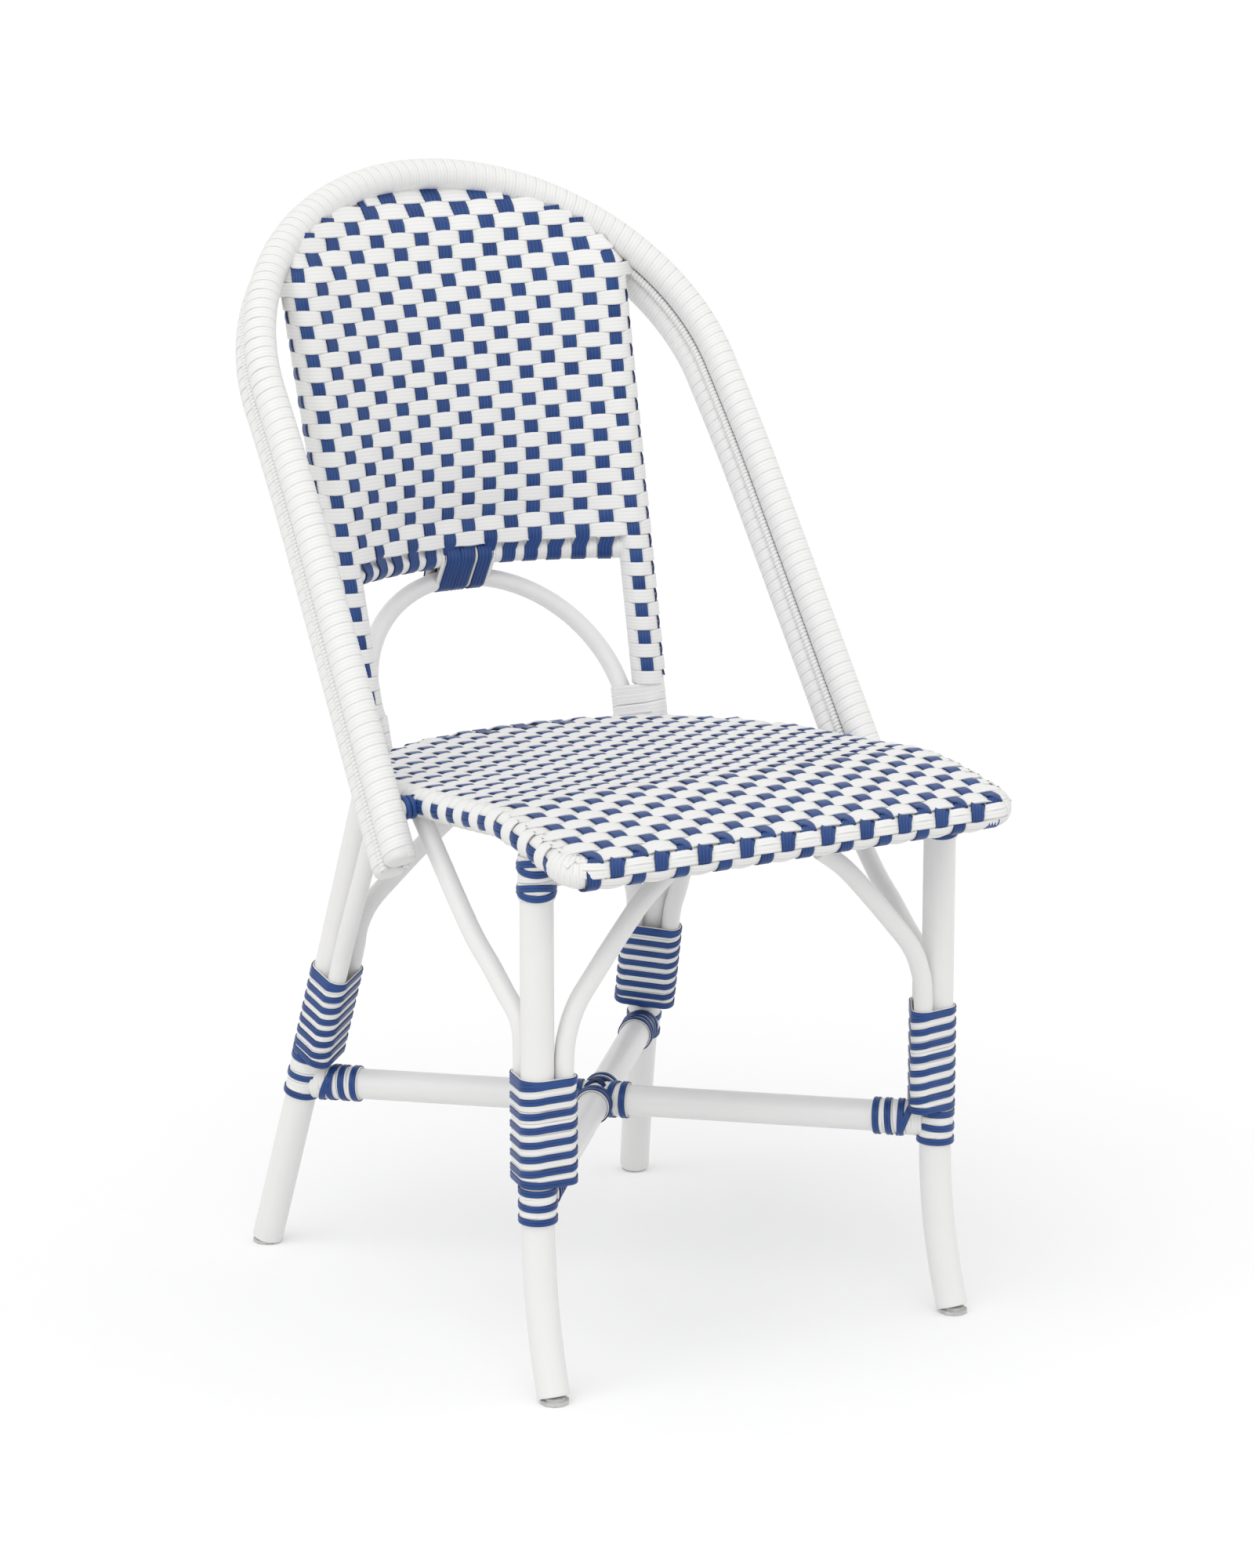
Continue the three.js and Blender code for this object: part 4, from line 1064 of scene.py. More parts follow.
def eased(line: Array, radius: float, start: float = 0.0, end: float = 0.0) -> Run:
    """Return a pole whose ends are rounded.

    Args:
        line: its centre line.
        radius: its radius.
        start: how much the first end is rounded, or 0.
        end: the same at the last end.

    Returns:
        The pole's run.
    """
    thick = np.full(len(line), radius)
    for size in (end, start):
        line, thick = line[::-1], thick[::-1]
        if size:
            way = unit(line[1] - line[0])
            line = np.vstack([[line[0] + way * size * share for share, _ in ROUNDING], line[1:]])
            thick = np.concatenate([[radius - size * cut for _, cut in ROUNDING], thick[1:]])
    return Run(line, radius=thick)


def coiled(line: Array, reference: Array, radius: float, pitch: float, steps: int = 24, closed: bool = False) -> Run:
    """Return a cord wound round a bent pole.

    Args:
        line: the pole's centre line.
        reference: a direction beside the line at each of its points.
        radius: how far the cord's inner face lies from the line.
        pitch: how far one turn climbs.
        steps: how many steps one turn has.
        closed: whether the pole is a ring.

    Returns:
        The cord's run.
    """
    if closed:
        line, reference = np.vstack([line, line[:1]]), np.vstack([reference, reference[:1]])
    length = np.concatenate([[0], np.cumsum(np.linalg.norm(np.diff(line, axis=0), axis=1))])
    turns = max(1, round(length[-1] / pitch))
    way = np.linspace(0, length[-1], turns * steps + 1)
    centre, side = (np.stack([np.interp(way, length, values[:, i]) for i in range(3)], axis=1)
                    for values in (line, reference))
    along = tangents(centre)
    first = unit(side - along * np.sum(side * along, axis=1, keepdims=True))
    second = np.cross(along, first)
    angle = np.arange(len(way)) * (2 * pi / steps)
    out = first * np.cos(angle)[:, None] + second * np.sin(angle)[:, None]
    return Run(centre + out * radius, out)


@dataclass
class PoleFrame:
    """The bare poles: legs, braces, stretchers, cross rails, back posts, arch and the two hidden rails."""

    leg_start: float = 4.4
    foot_edge: float = 1.0
    post_merge: float = 5.0
    post_taper: tuple[float, float, float] = (0.8, 45.0, 34.0)

    def build(self, shop: Workshop) -> None:
        """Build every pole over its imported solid."""
        for end, is_front in ENDS:
            for label, side in SIDES:
                self._leg(shop, f"{end}_leg_{label}", is_front, side)
                for word, is_side in (("brace", False), ("side_brace", True)):
                    line = PLAN.brace_line(is_front, is_side, side)
                    self._pole(shop, f"{end}_{word}_{label}", eased(line, PLAN.brace_radius, 1.0), 32)
            ends = [PLAN.leg_at(is_front, side, PLAN.cross_rail_height) for side in (-1, 1)]
            rail = Run(straight(*ends, 9), radius=PLAN.cross_rail_radius)
            self._pole(shop, f"{end}_cross_rail", rail, 32)
        for label, side in SIDES:
            self._post(shop, label, side)
        middle = PLAN.crossing
        for word, start, end in (("long", PLAN.stretcher_end(False, -1), PLAN.stretcher_end(True, 1)),
                                 ("front_half", middle, PLAN.stretcher_end(True, -1)),
                                 ("rear_half", middle, PLAN.stretcher_end(False, 1))):
            self._pole(shop, f"stretcher_{word}", Run(straight(start, end, 13), radius=PLAN.stretcher_radius))
        self._pole(shop, "back_arch", Run(PLAN.arch_line(), radius=PLAN.arch_radius), 32)
        self._pole(shop, "back_rail", Run(PLAN.back_rail_line(), radius=PLAN.back_rail_radius), 24)
        self._pole(shop, "seat_rail", Run(PLAN.rail_line(), radius=PLAN.rail_radius, closed=True), 24)

    def _pole(self, shop: Workshop, node: str, run: Run, sides: int = 40) -> None:
        """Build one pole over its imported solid."""
        shop.pole(f"pole_{node}", [run], node, sides=sides)

    def _leg(self, shop: Workshop, node: str, is_front: bool, side: int) -> None:
        """Build a leg from just above its glide to the seat."""
        line = PLAN.leg_line(is_front, side)
        line[0] += (line[1] - line[0]) * self.leg_start / (line[1, 2] - line[0, 2])
        self._pole(shop, node, eased(line, PLAN.pole_radius, self.foot_edge, 0 if is_front else 1.5))

    def _post(self, shop: Workshop, label: str, side: int) -> None:
        """Build a back post that dies away into the hoop."""
        low, aim = PLAN.post_ends
        top = aim[2] - self.post_merge
        z = np.linspace(low[2] - PLAN.post_tail, top, 33)
        share, start, length = self.post_taper
        thick = PLAN.post_radius * (1 - share * smooth_step((z - top + start) / length))
        self._pole(shop, f"back_post_{label}", Run(PLAN.post_at(z, side), radius=thick))


@dataclass
class Hoop:
    """The back hoop: two tubes wound with strand, the lugs that carry them, and a bead in each groove."""

    strand_width: float = 9.3
    strand_pitch: float = 9.2
    strand_thickness: float = 0.75
    strand_depth: float = 0.55
    cap_round: float = 4.0
    bead_strand_width: float = 2.7
    bead_strand_pitch: float = 3.1

    def build(self, shop: Workshop) -> None:
        """Build the tubes, the beads and the wraps of the lugs."""
        front = PLAN.hoop_line()
        backwards = PLAN.hoop_backwards(front)
        for node, line, radius, others in (
            ("hoop_front_tube", front, PLAN.hoop_radius, self._lugs()),
            ("hoop_rear_tube", PLAN.hoop_rear_line(), PLAN.hoop_rear_radius, []),
        ):
            core = [eased(line, radius - self.strand_depth, self.cap_round, self.cap_round)]
            shop.pole(f"core_{node}", core + others, kind=Kind.WHITE)
            wound = coiled(line, backwards, radius - self.strand_depth - 0.1, self.strand_pitch)
            wound = Run(wound.points[12:-12], wound.facing[12:-12])
            shop.strand(f"wrap_{node}", [wound], Kind.WHITE, node, width=self.strand_width,
                        thickness=self.strand_thickness, ridges=3, groove=0.32)
        for node, inward in (("hoop_bead_outer", -1), ("hoop_bead_inner", 1)):
            line = PLAN.bead_line(inward, PLAN.bead_radius + 0.3)
            core = [eased(line, PLAN.bead_radius - 0.35, 1.0, 1.0)]
            shop.pole(f"core_{node}", core, kind=Kind.WHITE, sides=12)
            wound = coiled(line, backwards, PLAN.bead_radius - 0.5, self.bead_strand_pitch, 10)
            shop.strand(f"wrap_{node}", [wound], Kind.WHITE, node, width=self.bead_strand_width,
                        thickness=self.strand_thickness, groove=0.6, detail=3)
        self._lug_cords(shop)

    def _lug_points(self) -> Array:
        """Return the points on the right lug's axis at the seat rail and at the hoop."""
        z = PLAN.rail_height(0)
        return stacked([PLAN.seat_half_width, PLAN.hoop_half_width + PLAN.hoop_taper], PLAN.hoop_depth(z), z)

    def _lugs(self) -> list[Run]:
        """Return the short pegs between the seat rail and the hoop."""
        return [Run(mirrored(self._lug_points(), side), radius=PLAN.lug_radius) for _, side in SIDES]

    def _lug_cords(self, shop: Workshop) -> None:
        """Wind navy cord round the pegs, in the gap between the seat and the hoop."""
        wrap = Wrap([(0, 0, PLAN.lug_radius)])
        for label, side in SIDES:
            origin = mirrored(self._lug_points()[0] + [PLAN.woven_rail_radius, 0, 0], side)
            run = wrap.helix(Place.along(origin, [side, 0, 0]), 0.3, -1.5, 2.2, 5.0)
            shop.strand(f"cord_lug_{label}", [run], Kind.NAVY, width=4.8, thickness=1.6, groove=0.5, detail=4)


@dataclass
class BackWeave:
    """The woven back: navy bands run down, white bands run across, over and under in turn."""

    row_pitch: float = 11.07
    row_zero: float = 696.7
    row_bow: float = 2.5
    first_row: int = -15
    last_row: int = 10
    post_start: float = 590.0
    crown_start: float = 795.0
    low_start: float = 604.0
    low_depth: float = 7.3
    last_post_row: int = 21
    column: float = 20.6
    edge_columns: int = 7
    spread: float = 0.984
    reach: float = 13.3
    lift: float = 1.0
    warp_width: float = 11.4
    weft_width: float = 11.0
    thickness: float = 1.4
    rail_reach: float = 9.0
    groove_inset: float = 9.5
    join_row: int = -9
    pillow: float = 0.1
    side_drop: float = 0.55
    side_width: float = 0.9
    edge_shift: float = 0.25
    high_spread: float = 0.14
    top_shift: float = 0.24
    top_advance: float = 9.0

    def _laid(self, z: Array, q: Array) -> Array:
        """Return the columns as they are laid: askew round the posts, wider and askew below the crown."""
        share = np.clip(q / self.edge_columns, -1, 1)
        high, crown = smooth_step((z - 700) / 90), smooth_step((z - self.crown_start) / 55)
        askew = crown * self.top_shift * (1 - share**2) - self.edge_shift * share**2
        return q + high * self.high_spread * share + askew

    def _row_height(self, row: Any, q: Any) -> Array:
        """Return the height of a row at a column counted from the middle."""
        bow = self.row_bow * (np.clip(np.asarray(q, float) / self.edge_columns, -1.3, 1.3) ** 2 - 1)
        return self.row_zero - self.row_pitch * np.asarray(row, float) + bow

    def _round_post(self, z: Array) -> Array:
        """Return how far the weave stands off the axis of a post at a height."""
        return self.reach * (1 - 0.85 * smooth_step((z - 797) / 32))

    def _post_angle(self, z: Array, q: Array) -> Array:
        """Return where a column past the middle lies round its post, in radians from the front inwards."""
        post = PLAN.post_at(z)
        radius = self._round_post(z)
        edge = np.arcsin(np.clip((1 - self.spread) * post[..., 0] / radius, 0, 1))
        return edge - (np.abs(q) - self.edge_columns) * self.column / self.reach

    def _on_post(self, z: Array, q: Array) -> Array:
        """Return points round a post."""
        post, radius = PLAN.post_at(z), self._round_post(z)
        angle = self._post_angle(z, self._laid(z, q))
        return stacked(np.sign(q) * (post[..., 0] - radius * np.sin(angle)), post[..., 1] - radius * np.cos(angle), z)

    def _on_face(self, z: Array, q: Array) -> Array:
        """Return points of the whole woven face, round both posts."""
        q = self._laid(z, q)
        post, radius = PLAN.post_at(z), self._round_post(z)
        half = post[..., 0]
        depth = PLAN.back_depth(z) - 2 * radius / self.reach - self.low_depth * smooth_step((self.low_start - z) / 26)
        depth = depth - self.top_advance * smooth_step((z - self.crown_start) / 50)
        low, high = np.zeros_like(z), np.full_like(z, 1.35)
        for _ in range(34):
            middle = (low + high) / 2
            over = (half - radius * np.sin(middle)) * np.tan(middle) / 2 - radius * np.cos(middle) > depth
            high, low = np.where(over, middle, high), np.where(over, low, middle)
        edge = half - radius * np.sin(low)
        x = np.abs(q) / self.edge_columns * self.spread * half
        bowl = stacked(x * np.sign(q), post[..., 1] + depth - np.tan(low) / (2 * edge) * x**2, z)
        angle = np.where(np.abs(q) < self.edge_columns, np.arcsin(np.clip((half - x) / radius, -1, 1)),
                         self._post_angle(z, q))
        round_post = stacked(np.sign(q) * (half - radius * np.sin(angle)), post[..., 1] - radius * np.cos(angle), z)
        return np.where((x <= edge)[..., None], bowl, round_post)

    def _lifted(self, surface: Callable[[Array, Array], Array], z: Any, q: Any, lift: Any) -> Run:
        """Return a band on a surface.

        Args:
            surface: gives the points of the surface from heights and columns.
            z: the heights along the band.
            q: the columns along the band.
            lift: how far the band's middle is lifted off the surface.

        Returns:
            The band's run.
        """
        z, q = np.broadcast_arrays(z, q)
        down = surface(z - 1, q) - surface(z + 1, q)
        along = surface(z, q + 0.03) - surface(z, q - 0.03)
        facing = unit(np.cross(down, along))
        spread = np.clip(np.linalg.norm(down, axis=-1) / 2, 1, 1.4)
        return Run(surface(z, q) + facing * lift[..., None], facing, spread)

    def _groove(self, z: Any) -> Array:
        """Return the half width between the inner grooves of the hoop at a height."""
        rise = (np.asarray(z, float) - PLAN.hoop_spring_height) / (PLAN.hoop_rise - self.groove_inset)
        half = PLAN.hoop_half_width - self.groove_inset
        return half * np.sqrt(np.clip(1 - np.clip(rise, 0, 1) ** 2, 0, 1))

    def _top(self, q: float) -> float:
        """Return the row at which a column meets the hoop."""
        if abs(q) > self.edge_columns:
            return self.join_row + 0.6
        x = q / self.edge_columns * self.spread * PLAN.post_at(820.0)[0]
        rise = PLAN.hoop_rise - self.groove_inset
        rise *= sqrt(max(0.0, 1 - (x / (PLAN.hoop_half_width - self.groove_inset)) ** 2))
        return (self.row_zero - PLAN.hoop_spring_height - rise) / self.row_pitch

    def _wefts(self) -> list[Run]:
        """Return the white bands across the back and round its posts."""
        runs = []
        for row in range(self.first_row, self.last_row + 1):
            q = np.arange(-38, 39) / 4
            middle = self._row_height(row, 0)
            half, groove = PLAN.post_at(middle)[0], self._groove(middle)
            if row <= self.join_row:
                limit = min(groove / (self.spread * half) * self.edge_columns, self.edge_columns + 0.45)
                q = np.concatenate([[-limit], q[np.abs(q) < limit - 0.05], [limit]])
            crest = over_under(q, row) * (1 - smooth_step((np.abs(q) - 9.1) / 0.3))
            run = self._lifted(self._on_face, self._row_height(row, q), q, -self.lift * crest)
            run.radius = run.radius * (1 + self.pillow * np.maximum(-crest, 0))
            runs.append(self._joined_to_hoop(run, groove) if row <= self.join_row else run)
        for row in range(self.last_row + 1, self.last_post_row + 1):
            for _, side in SIDES:
                q = np.linspace(5.15, 9.8, 19) * side
                z = self._row_height(row, self.edge_columns * side)
                keep = smooth_step((np.abs(q) - 6.2) / 0.3) * (1 - smooth_step((np.abs(q) - 9.1) / 0.3))
                wave = -self.lift * over_under(q, row) * keep
                runs.append(self._lifted(self._on_post, z, q, wave))
        return runs

    def _joined_to_hoop(self, run: Run, groove: float) -> Run:
        """Return a white band that runs on past the posts into the grooves of the hoop."""
        if groove - run.points[-1, 0] < 1:
            return run
        share = np.array([0.35, 0.7, 1.0])[:, None]
        parts = []
        for index, side in ((0, -1), (-1, 1)):
            start = run.points[index]
            end = np.array([groove * side, PLAN.hoop_depth(start[2]) + 15.0, start[2]])
            parts.append(start + (end - start) * share)
        points = np.vstack([parts[0][::-1], run.points, parts[1]])
        facing = np.vstack([run.facing[[0] * 3], run.facing, run.facing[[-1] * 3]])
        return Run(points, facing, np.concatenate([run.radius[[0] * 3], run.radius, run.radius[[-1] * 3]]))

    def _warps(self) -> list[Run]:
        """Return the navy bands that run down the back and over its bottom rail."""
        runs = []
        for q in range(-self.edge_columns + 1, self.edge_columns):
            top = self._top(q) - 0.25
            row = np.arange(ceil(top * 4), (self.last_row + 0.5) * 4 + 1) / 4
            runs.append(self._over_rail(q, np.concatenate([[top], row])))
        for side in (-1, 1):
            for column in range(self.edge_columns, self.edge_columns + 3):
                q = column * side
                row = np.arange(ceil(self._top(q) * 4), self.last_post_row * 4 + 1) / 4
                z = self._row_height(row, self.edge_columns)
                wave = self.lift * over_under(q, row) - self.side_drop
                faces = self._lifted(self._on_face, z, q, wave)
                posts = self._lifted(self._on_post, z, q, wave)
                low = (z < self.post_start)[:, None]
                runs.append(Run(np.where(low, posts.points, faces.points),
                                np.where(low, posts.facing, faces.facing), self.side_width))
        return runs

    def _over_rail(self, q: float, row: Array) -> Run:
        """Return a navy band that goes down the face and then round the bottom rail."""
        wave = self.lift * over_under(q, row)
        band = self._lifted(self._on_face, self._row_height(row, q), q, wave)
        loop, facing = self._rail_turn(q, np.radians(np.arange(14, -216, -17.0)), 0.4)
        size = np.concatenate([band.radius, np.ones(len(loop))])
        return Run(np.vstack([band.points, loop]), np.vstack([band.facing, facing]), size)

    def _rail_turn(self, q: float, angle: Array, lift: float) -> tuple[Array, Array]:
        """Return points and directions of a turn round the bottom rail at a column.

        Args:
            q: the column, counted from the middle.
            angle: angles round the rail, 0 in front and a quarter turn on top.
            lift: how far the band's middle lies off the wrapped rail.

        Returns:
            The points and the outward directions.
        """
        height = PLAN.back_rail_height
        half = PLAN.post_at(np.array(height))[0]
        x = q / self.edge_columns * self.spread * half
        ends = PLAN.back_face(np.array([x - 1, x, x + 1]), np.full(3, height))
        along = unit(ends[2] - ends[0])
        front = np.array([along[1], -along[0], 0])
        facing = np.cos(angle)[:, None] * front + np.sin(angle)[:, None] * UP
        return ends[1] + facing * (self.rail_reach + lift), facing

    def build(self, shop: Workshop) -> None:
        """Build the bands of the back."""
        shop.band("weave_back_white", self._wefts(), Kind.WOVEN, "back_weave", width=self.weft_width,
                  thickness=self.thickness)
        shop.band("weave_back_navy", self._warps(), Kind.NAVY, width=self.warp_width, thickness=self.thickness)
        turns = []
        for q in np.arange(-self.edge_columns + 0.5, self.edge_columns):
            points, facing = self._rail_turn(q, np.radians(np.arange(0, 360, 15.0)), -0.3)
            turns.append(Run(points, facing, closed=True))
        shop.band("wrap_back_rail", turns, Kind.WOVEN, width=9.6, thickness=self.thickness, ridges=3, groove=0.42)
        core = Run(PLAN.back_rail_line(), radius=PLAN.back_rail_radius + 0.7)
        shop.pole("core_back_rail", [core], kind=Kind.WHITE)


@dataclass
class SeatWeave:
    """The woven seat: navy bands run from back to front, white bands across, both round the seat rail."""

    lift: float = 1.15
    thickness: float = 1.5
    band_width: float = 11.4
    weft_width: float = 11.7
    row_pitch: float = 12.0
    row_zero: float = 214.5
    last_row: int = 32
    first_column: int = -9
    last_column: int = 11
    column_zero: float = 9.5
    column_pitch: float = 18.28
    column_closing: float = 0.0667
    cord_angle: float = 93.0
    cord_halves: tuple[float, float] = (-14.0, 14.0)
    cord_half_width: float = 5.7
    stretch_limit: float = 2.0
    pillow: float = 0.15
    roll_shift: float = 7.0
    roll_radius: float = 10.6
    front_rows: tuple[tuple[int, float], ...] = ((-1, 53.0), (-1, 82.0), (-2, 118.0), (-2, 147.0))
    front_width: float = 6.0
    back_rows: tuple[tuple[int, float], ...] = ((34, 23.0), (34, 51.0), (35, 82.0), (35, 110.0), (36, 141.0))
    front_reach: float = 0.36
    front_way: float = 266.0
    front_wave_width: float = 192.0
    first_row_width: float = 1.16
    side_start: float = -208.0
    side_wave: float = 0.75
    cord_wave: float = 0.85
    back_span: float = 64.0
    back_reach: float = 88.0
    corner_cords: int = 7
    corner_turn: float = 56.0
    corner_cord_width: float = 6.4
    bed_turns: tuple[float, ...] = (-62.0, -30.0, 2.0)
    bed_drop: float = 1.5

    def _column_x(self, k: Any) -> Array:
        """Return where a column lies across the seat."""
        j = np.asarray(k, float) - 1
        return self.column_zero + self.column_pitch * j - self.column_closing * j**2

    def _column_at(self, x: Any) -> Array:
        """Return the column at a place across the seat."""
        past = np.asarray(x, float) - self.column_zero
        gap = np.maximum(self.column_pitch**2 - 4 * self.column_closing * past, 0)
        return 1 + (self.column_pitch - np.sqrt(gap)) / (2 * self.column_closing)

    def _row_at(self, s: Any) -> Array:
        """Return the row at a way along the seat's middle, counted forwards and round the front rail."""
        ways = [278.0, 254.8, 241.4, 222.2] + [self.row_zero - self.row_pitch * (m - 0.5) for m in range(1, 40)]
        rows = np.arange(-3.0, 40.0)
        return np.interp(-np.asarray(s, float), -np.array(ways), rows)

    def _roll(self, centre: Array, outward: Array, stretch: float, angle: Array, lift: Any) -> tuple[Array, Array]:
        """Return points and directions of a turn over the seat rail.

        Args:
            centre: the rail's centre.
            outward: the level direction out of the seat in which the band runs.
            stretch: how much longer than round the rail's section is in that direction.
            angle: angles from the top outwards.
            lift: how far the band's middle is lifted.

        Returns:
            The points and the outward directions.
        """
        aside, above = np.sin(angle)[:, None] * outward, np.cos(angle)[:, None] * UP
        facing = unit(aside / stretch + above)
        middle = centre + (PLAN.woven_rail_radius - self.roll_radius) * UP
        points = middle + self.roll_radius * (aside * stretch + above)
        return points + facing * np.broadcast_to(lift, angle.shape)[:, None], facing

    def _stretch(self, slope: float) -> float:
        """Return how much longer than round the rail's section is where the rail runs askew."""
        return min(hypot(1, slope), self.stretch_limit)

    def _warp(self, k: int) -> Run:
        """Return a navy band from under the front rail, over the seat, to under the back rail."""
        x = self._column_x(k)
        corner, (edge, corner_y) = PLAN.seat_corner_radius, PLAN.front_corner
        bite = np.clip(abs(x) - edge, 0, corner - 0.5)
        front_y = corner_y - sqrt(corner**2 - bite**2)
        back_y, slope = PLAN.seat_back_at(x)
        radius = PLAN.woven_rail_radius
        angle = np.radians(np.arange(200, 2, -11.0))
        way = -front_y + radius * angle
        wave = self._wave(k, self._row_at(way)) * (way < self.front_way)
        centre = np.array([x, front_y, PLAN.rail_height(front_y)])
        front, front_facing = self._roll(centre, np.array([0, -1.0, 0]), 1.0, angle, wave)
        front[:, 0] -= self.roll_shift * smooth_step(angle / 1.2)
        y = np.arange(front_y, back_y - 1, self.row_pitch / 4)
        incline = (PLAN.rail_height(y + 1) - PLAN.rail_height(y - 1)) / 2
        facing = unit(stacked(0, -incline, 1))
        lift = radius + self._wave(k, self._row_at(-y))
        flat = stacked(x, y, PLAN.rail_height(y)) + facing * lift[:, None]
        angle = np.radians(np.arange(3, 206, 13.0))
        centre = np.array([x, back_y, PLAN.rail_height(back_y)])
        stretch = self._stretch(slope)
        row = self._row_at(-back_y - radius * angle * stretch)
        if abs(x) < self.back_reach:
            row = np.interp(np.degrees(angle), [0, 37, 96, 155], [self._row_at(-back_y), 34, 35, 36])
        wave = self._wave(k, row) * (angle < 2.4)
        back, back_facing = self._roll(centre, np.array([0, 1.0, 0]), stretch, angle, wave)
        return Run(np.vstack([front, flat, back]), np.vstack([front_facing, facing, back_facing]))

    def _wave(self, k: Any, row: Any) -> Array:
        """Return how far a navy band is lifted where it crosses a row."""
        return self.lift * over_under(k, row)

    def _side_column(self, x: Array, edge: float, side: int) -> Array:
        """Return the column along a white band, with the low side cord as the next column past the last."""
        last = self.last_column if side > 0 else self.first_column
        start = self._column_x(last)
        end = edge * side + PLAN.woven_rail_radius * radians(self.cord_angle) * side
        return np.where(x * side > start * side, last + side * (x - start) / (end - start), self._column_at(x))

    def _weft(self, row: int) -> Run:
        """Return a white band across the seat and round both side rails."""
        y = -(self.row_zero - self.row_pitch * (row - 0.5)) if row > 0 else -222.2
        edge, slope = PLAN.seat_edge(y)
        height, radius = PLAN.rail_height(y), PLAN.woven_rail_radius
        stretch = self._stretch(slope)
        angle = np.radians(np.arange(4, 202 if row > 0 else 60, 12.0))
        parts, faces = [], []
        incline = float(PLAN.rail_height(y + 1) - PLAN.rail_height(y - 1)) / 2
        up = unit(np.array([0, -incline, 1.0]))
        marks = self._column_x(np.arange(4 * self.first_column - 4, 4 * self.last_column + 5) / 4)
        x = np.concatenate([[-edge], marks[np.abs(marks) < edge - 1.5], [edge]])
        for side in (-1, 1):
            centre = np.array([edge * side, y, height])
            column = self._side_column(edge * side + radius * angle * side, edge, side)
            wave = -self.side_wave * self._wave(column, row) * (angle < radians(self.cord_angle + 45))
            outward = np.array([float(side), 0, 0])
            points, facing = self._roll(centre, outward, stretch, angle, wave)
            lean = np.array([0, -slope, 0]) * np.sin(angle)[:, None] / stretch
            parts.append(points)
            faces.append(unit(facing + lean * 0.6))
        column = np.where(x > 0, self._side_column(x, edge, 1), self._side_column(x, edge, -1))
        wave = -self._wave(column, row)
        flat = stacked(x, y, height) + up * (radius + wave * np.where(np.abs(x) > edge - 6, 0.5, 1))[:, None]
        points = np.vstack([parts[0][::-1], flat, parts[1]])
        size = 1.02 + self.pillow * np.maximum(wave / self.lift, 0)
        if row == 0:
            size = size * self.first_row_width
        size = np.concatenate([np.full(len(angle), 1.06), size, np.full(len(angle), 1.06)])
        return Run(points, np.vstack([faces[0][::-1], np.tile(up, (len(x), 1)), faces[1]]), size)

    def _along_rail(self, line: Array, degrees: float, lift: Array) -> Run:
        """Return a band that follows the seat rail at an angle from its top outwards."""
        line = stacked(line[:, 0], line[:, 1], PLAN.rail_height(line[:, 1]))
        along = tangents(line)
        outward = unit(stacked(along[:, 1], -along[:, 0], 0))
        outward *= np.sign(np.sum(outward * (line * [1, 1, 0]), axis=1))[:, None]
        angle = radians(degrees)
        facing = outward * sin(angle) + UP * cos(angle)
        rise = (PLAN.woven_rail_radius - self.roll_radius) * UP
        return Run(line + rise + facing * (self.roll_radius + lift)[:, None], facing)

    def _front_rows(self) -> list[Run]:
        """Return the white bands on the front roll, which end round the corners."""
        runs = []
        radius, (edge, corner_y) = PLAN.seat_corner_radius, PLAN.front_corner
        marks = self._column_x(np.arange(4 * self.first_column, 4 * self.last_column + 1) / 4)
        turn = np.linspace(pi / 2, pi / 2 * (1 - self.front_reach), 9)[1:]
        right = stacked(edge + radius * np.cos(turn), corner_y - radius * np.sin(turn), 0)
        front = stacked(marks[np.abs(marks) < edge], -PLAN.seat_front_reach, 0)
        line = np.vstack([mirrored(right[::-1], -1), front, right])
        for row, degrees in self.front_rows:
            column = self._column_at(line[:, 0] + self.roll_shift * smooth_step(radians(degrees) / 1.2))
            wave = -self._wave(column, row) * (np.abs(line[:, 0]) < self.front_wave_width)
            runs.append(self._along_rail(line, degrees, wave))
        return runs

    def _corner_cords(self) -> list[Run]:
        """Return the white strands that close the front corners, each square to the rail."""
        runs = []
        radius, (corner_x, corner_y) = PLAN.seat_corner_radius, PLAN.front_corner
        degrees = np.arange(-24, 206, 10.0)
        lift = 0.5 - 0.5 * smooth_step((degrees - 165) / 35)
        size = 0.62 + 0.38 * smooth_step((degrees + 24) / 80)
        for _, side in SIDES:
            for turn in np.radians(np.linspace(0, self.corner_turn, self.corner_cords)):
                x, y = corner_x + radius * cos(turn), corner_y - radius * sin(turn)
                outward = np.array([side * cos(turn), -sin(turn), 0])
                centre = np.array([side * x, y, PLAN.rail_height(y)])
                runs.append(Run(*self._roll(centre, outward, 1.0, np.radians(degrees), lift), size))
        return runs

    def _back_rows(self) -> list[Run]:
        """Return the white bands that follow the round back of the rail."""
        line = both_halves(PLAN.back_arc(np.linspace(self.back_span, 90, 48)))
        column = self._column_at(line[:, 0])
        return [self._along_rail(line, degrees, -self._wave(column, row)) for row, degrees in self.back_rows]

    def _side_line(self) -> Array:
        """Return the line of the right side rail and the start of the round back."""
        y = np.arange(self.side_start, 0, 3.0)
        side = stacked([PLAN.seat_edge(v)[0] for v in y], y, 0)
        return np.vstack([side, PLAN.back_arc(np.linspace(0.5, 30, 34))])

    def _side_beds(self) -> list[Run]:
        """Return the white strands below the loops on the side rails."""
        line = self._side_line()
        drop = np.full(len(line), -self.bed_drop)
        return [self._along_rail(mirrored(line, side), turn, drop) for _, side in SIDES for turn in self.bed_turns]

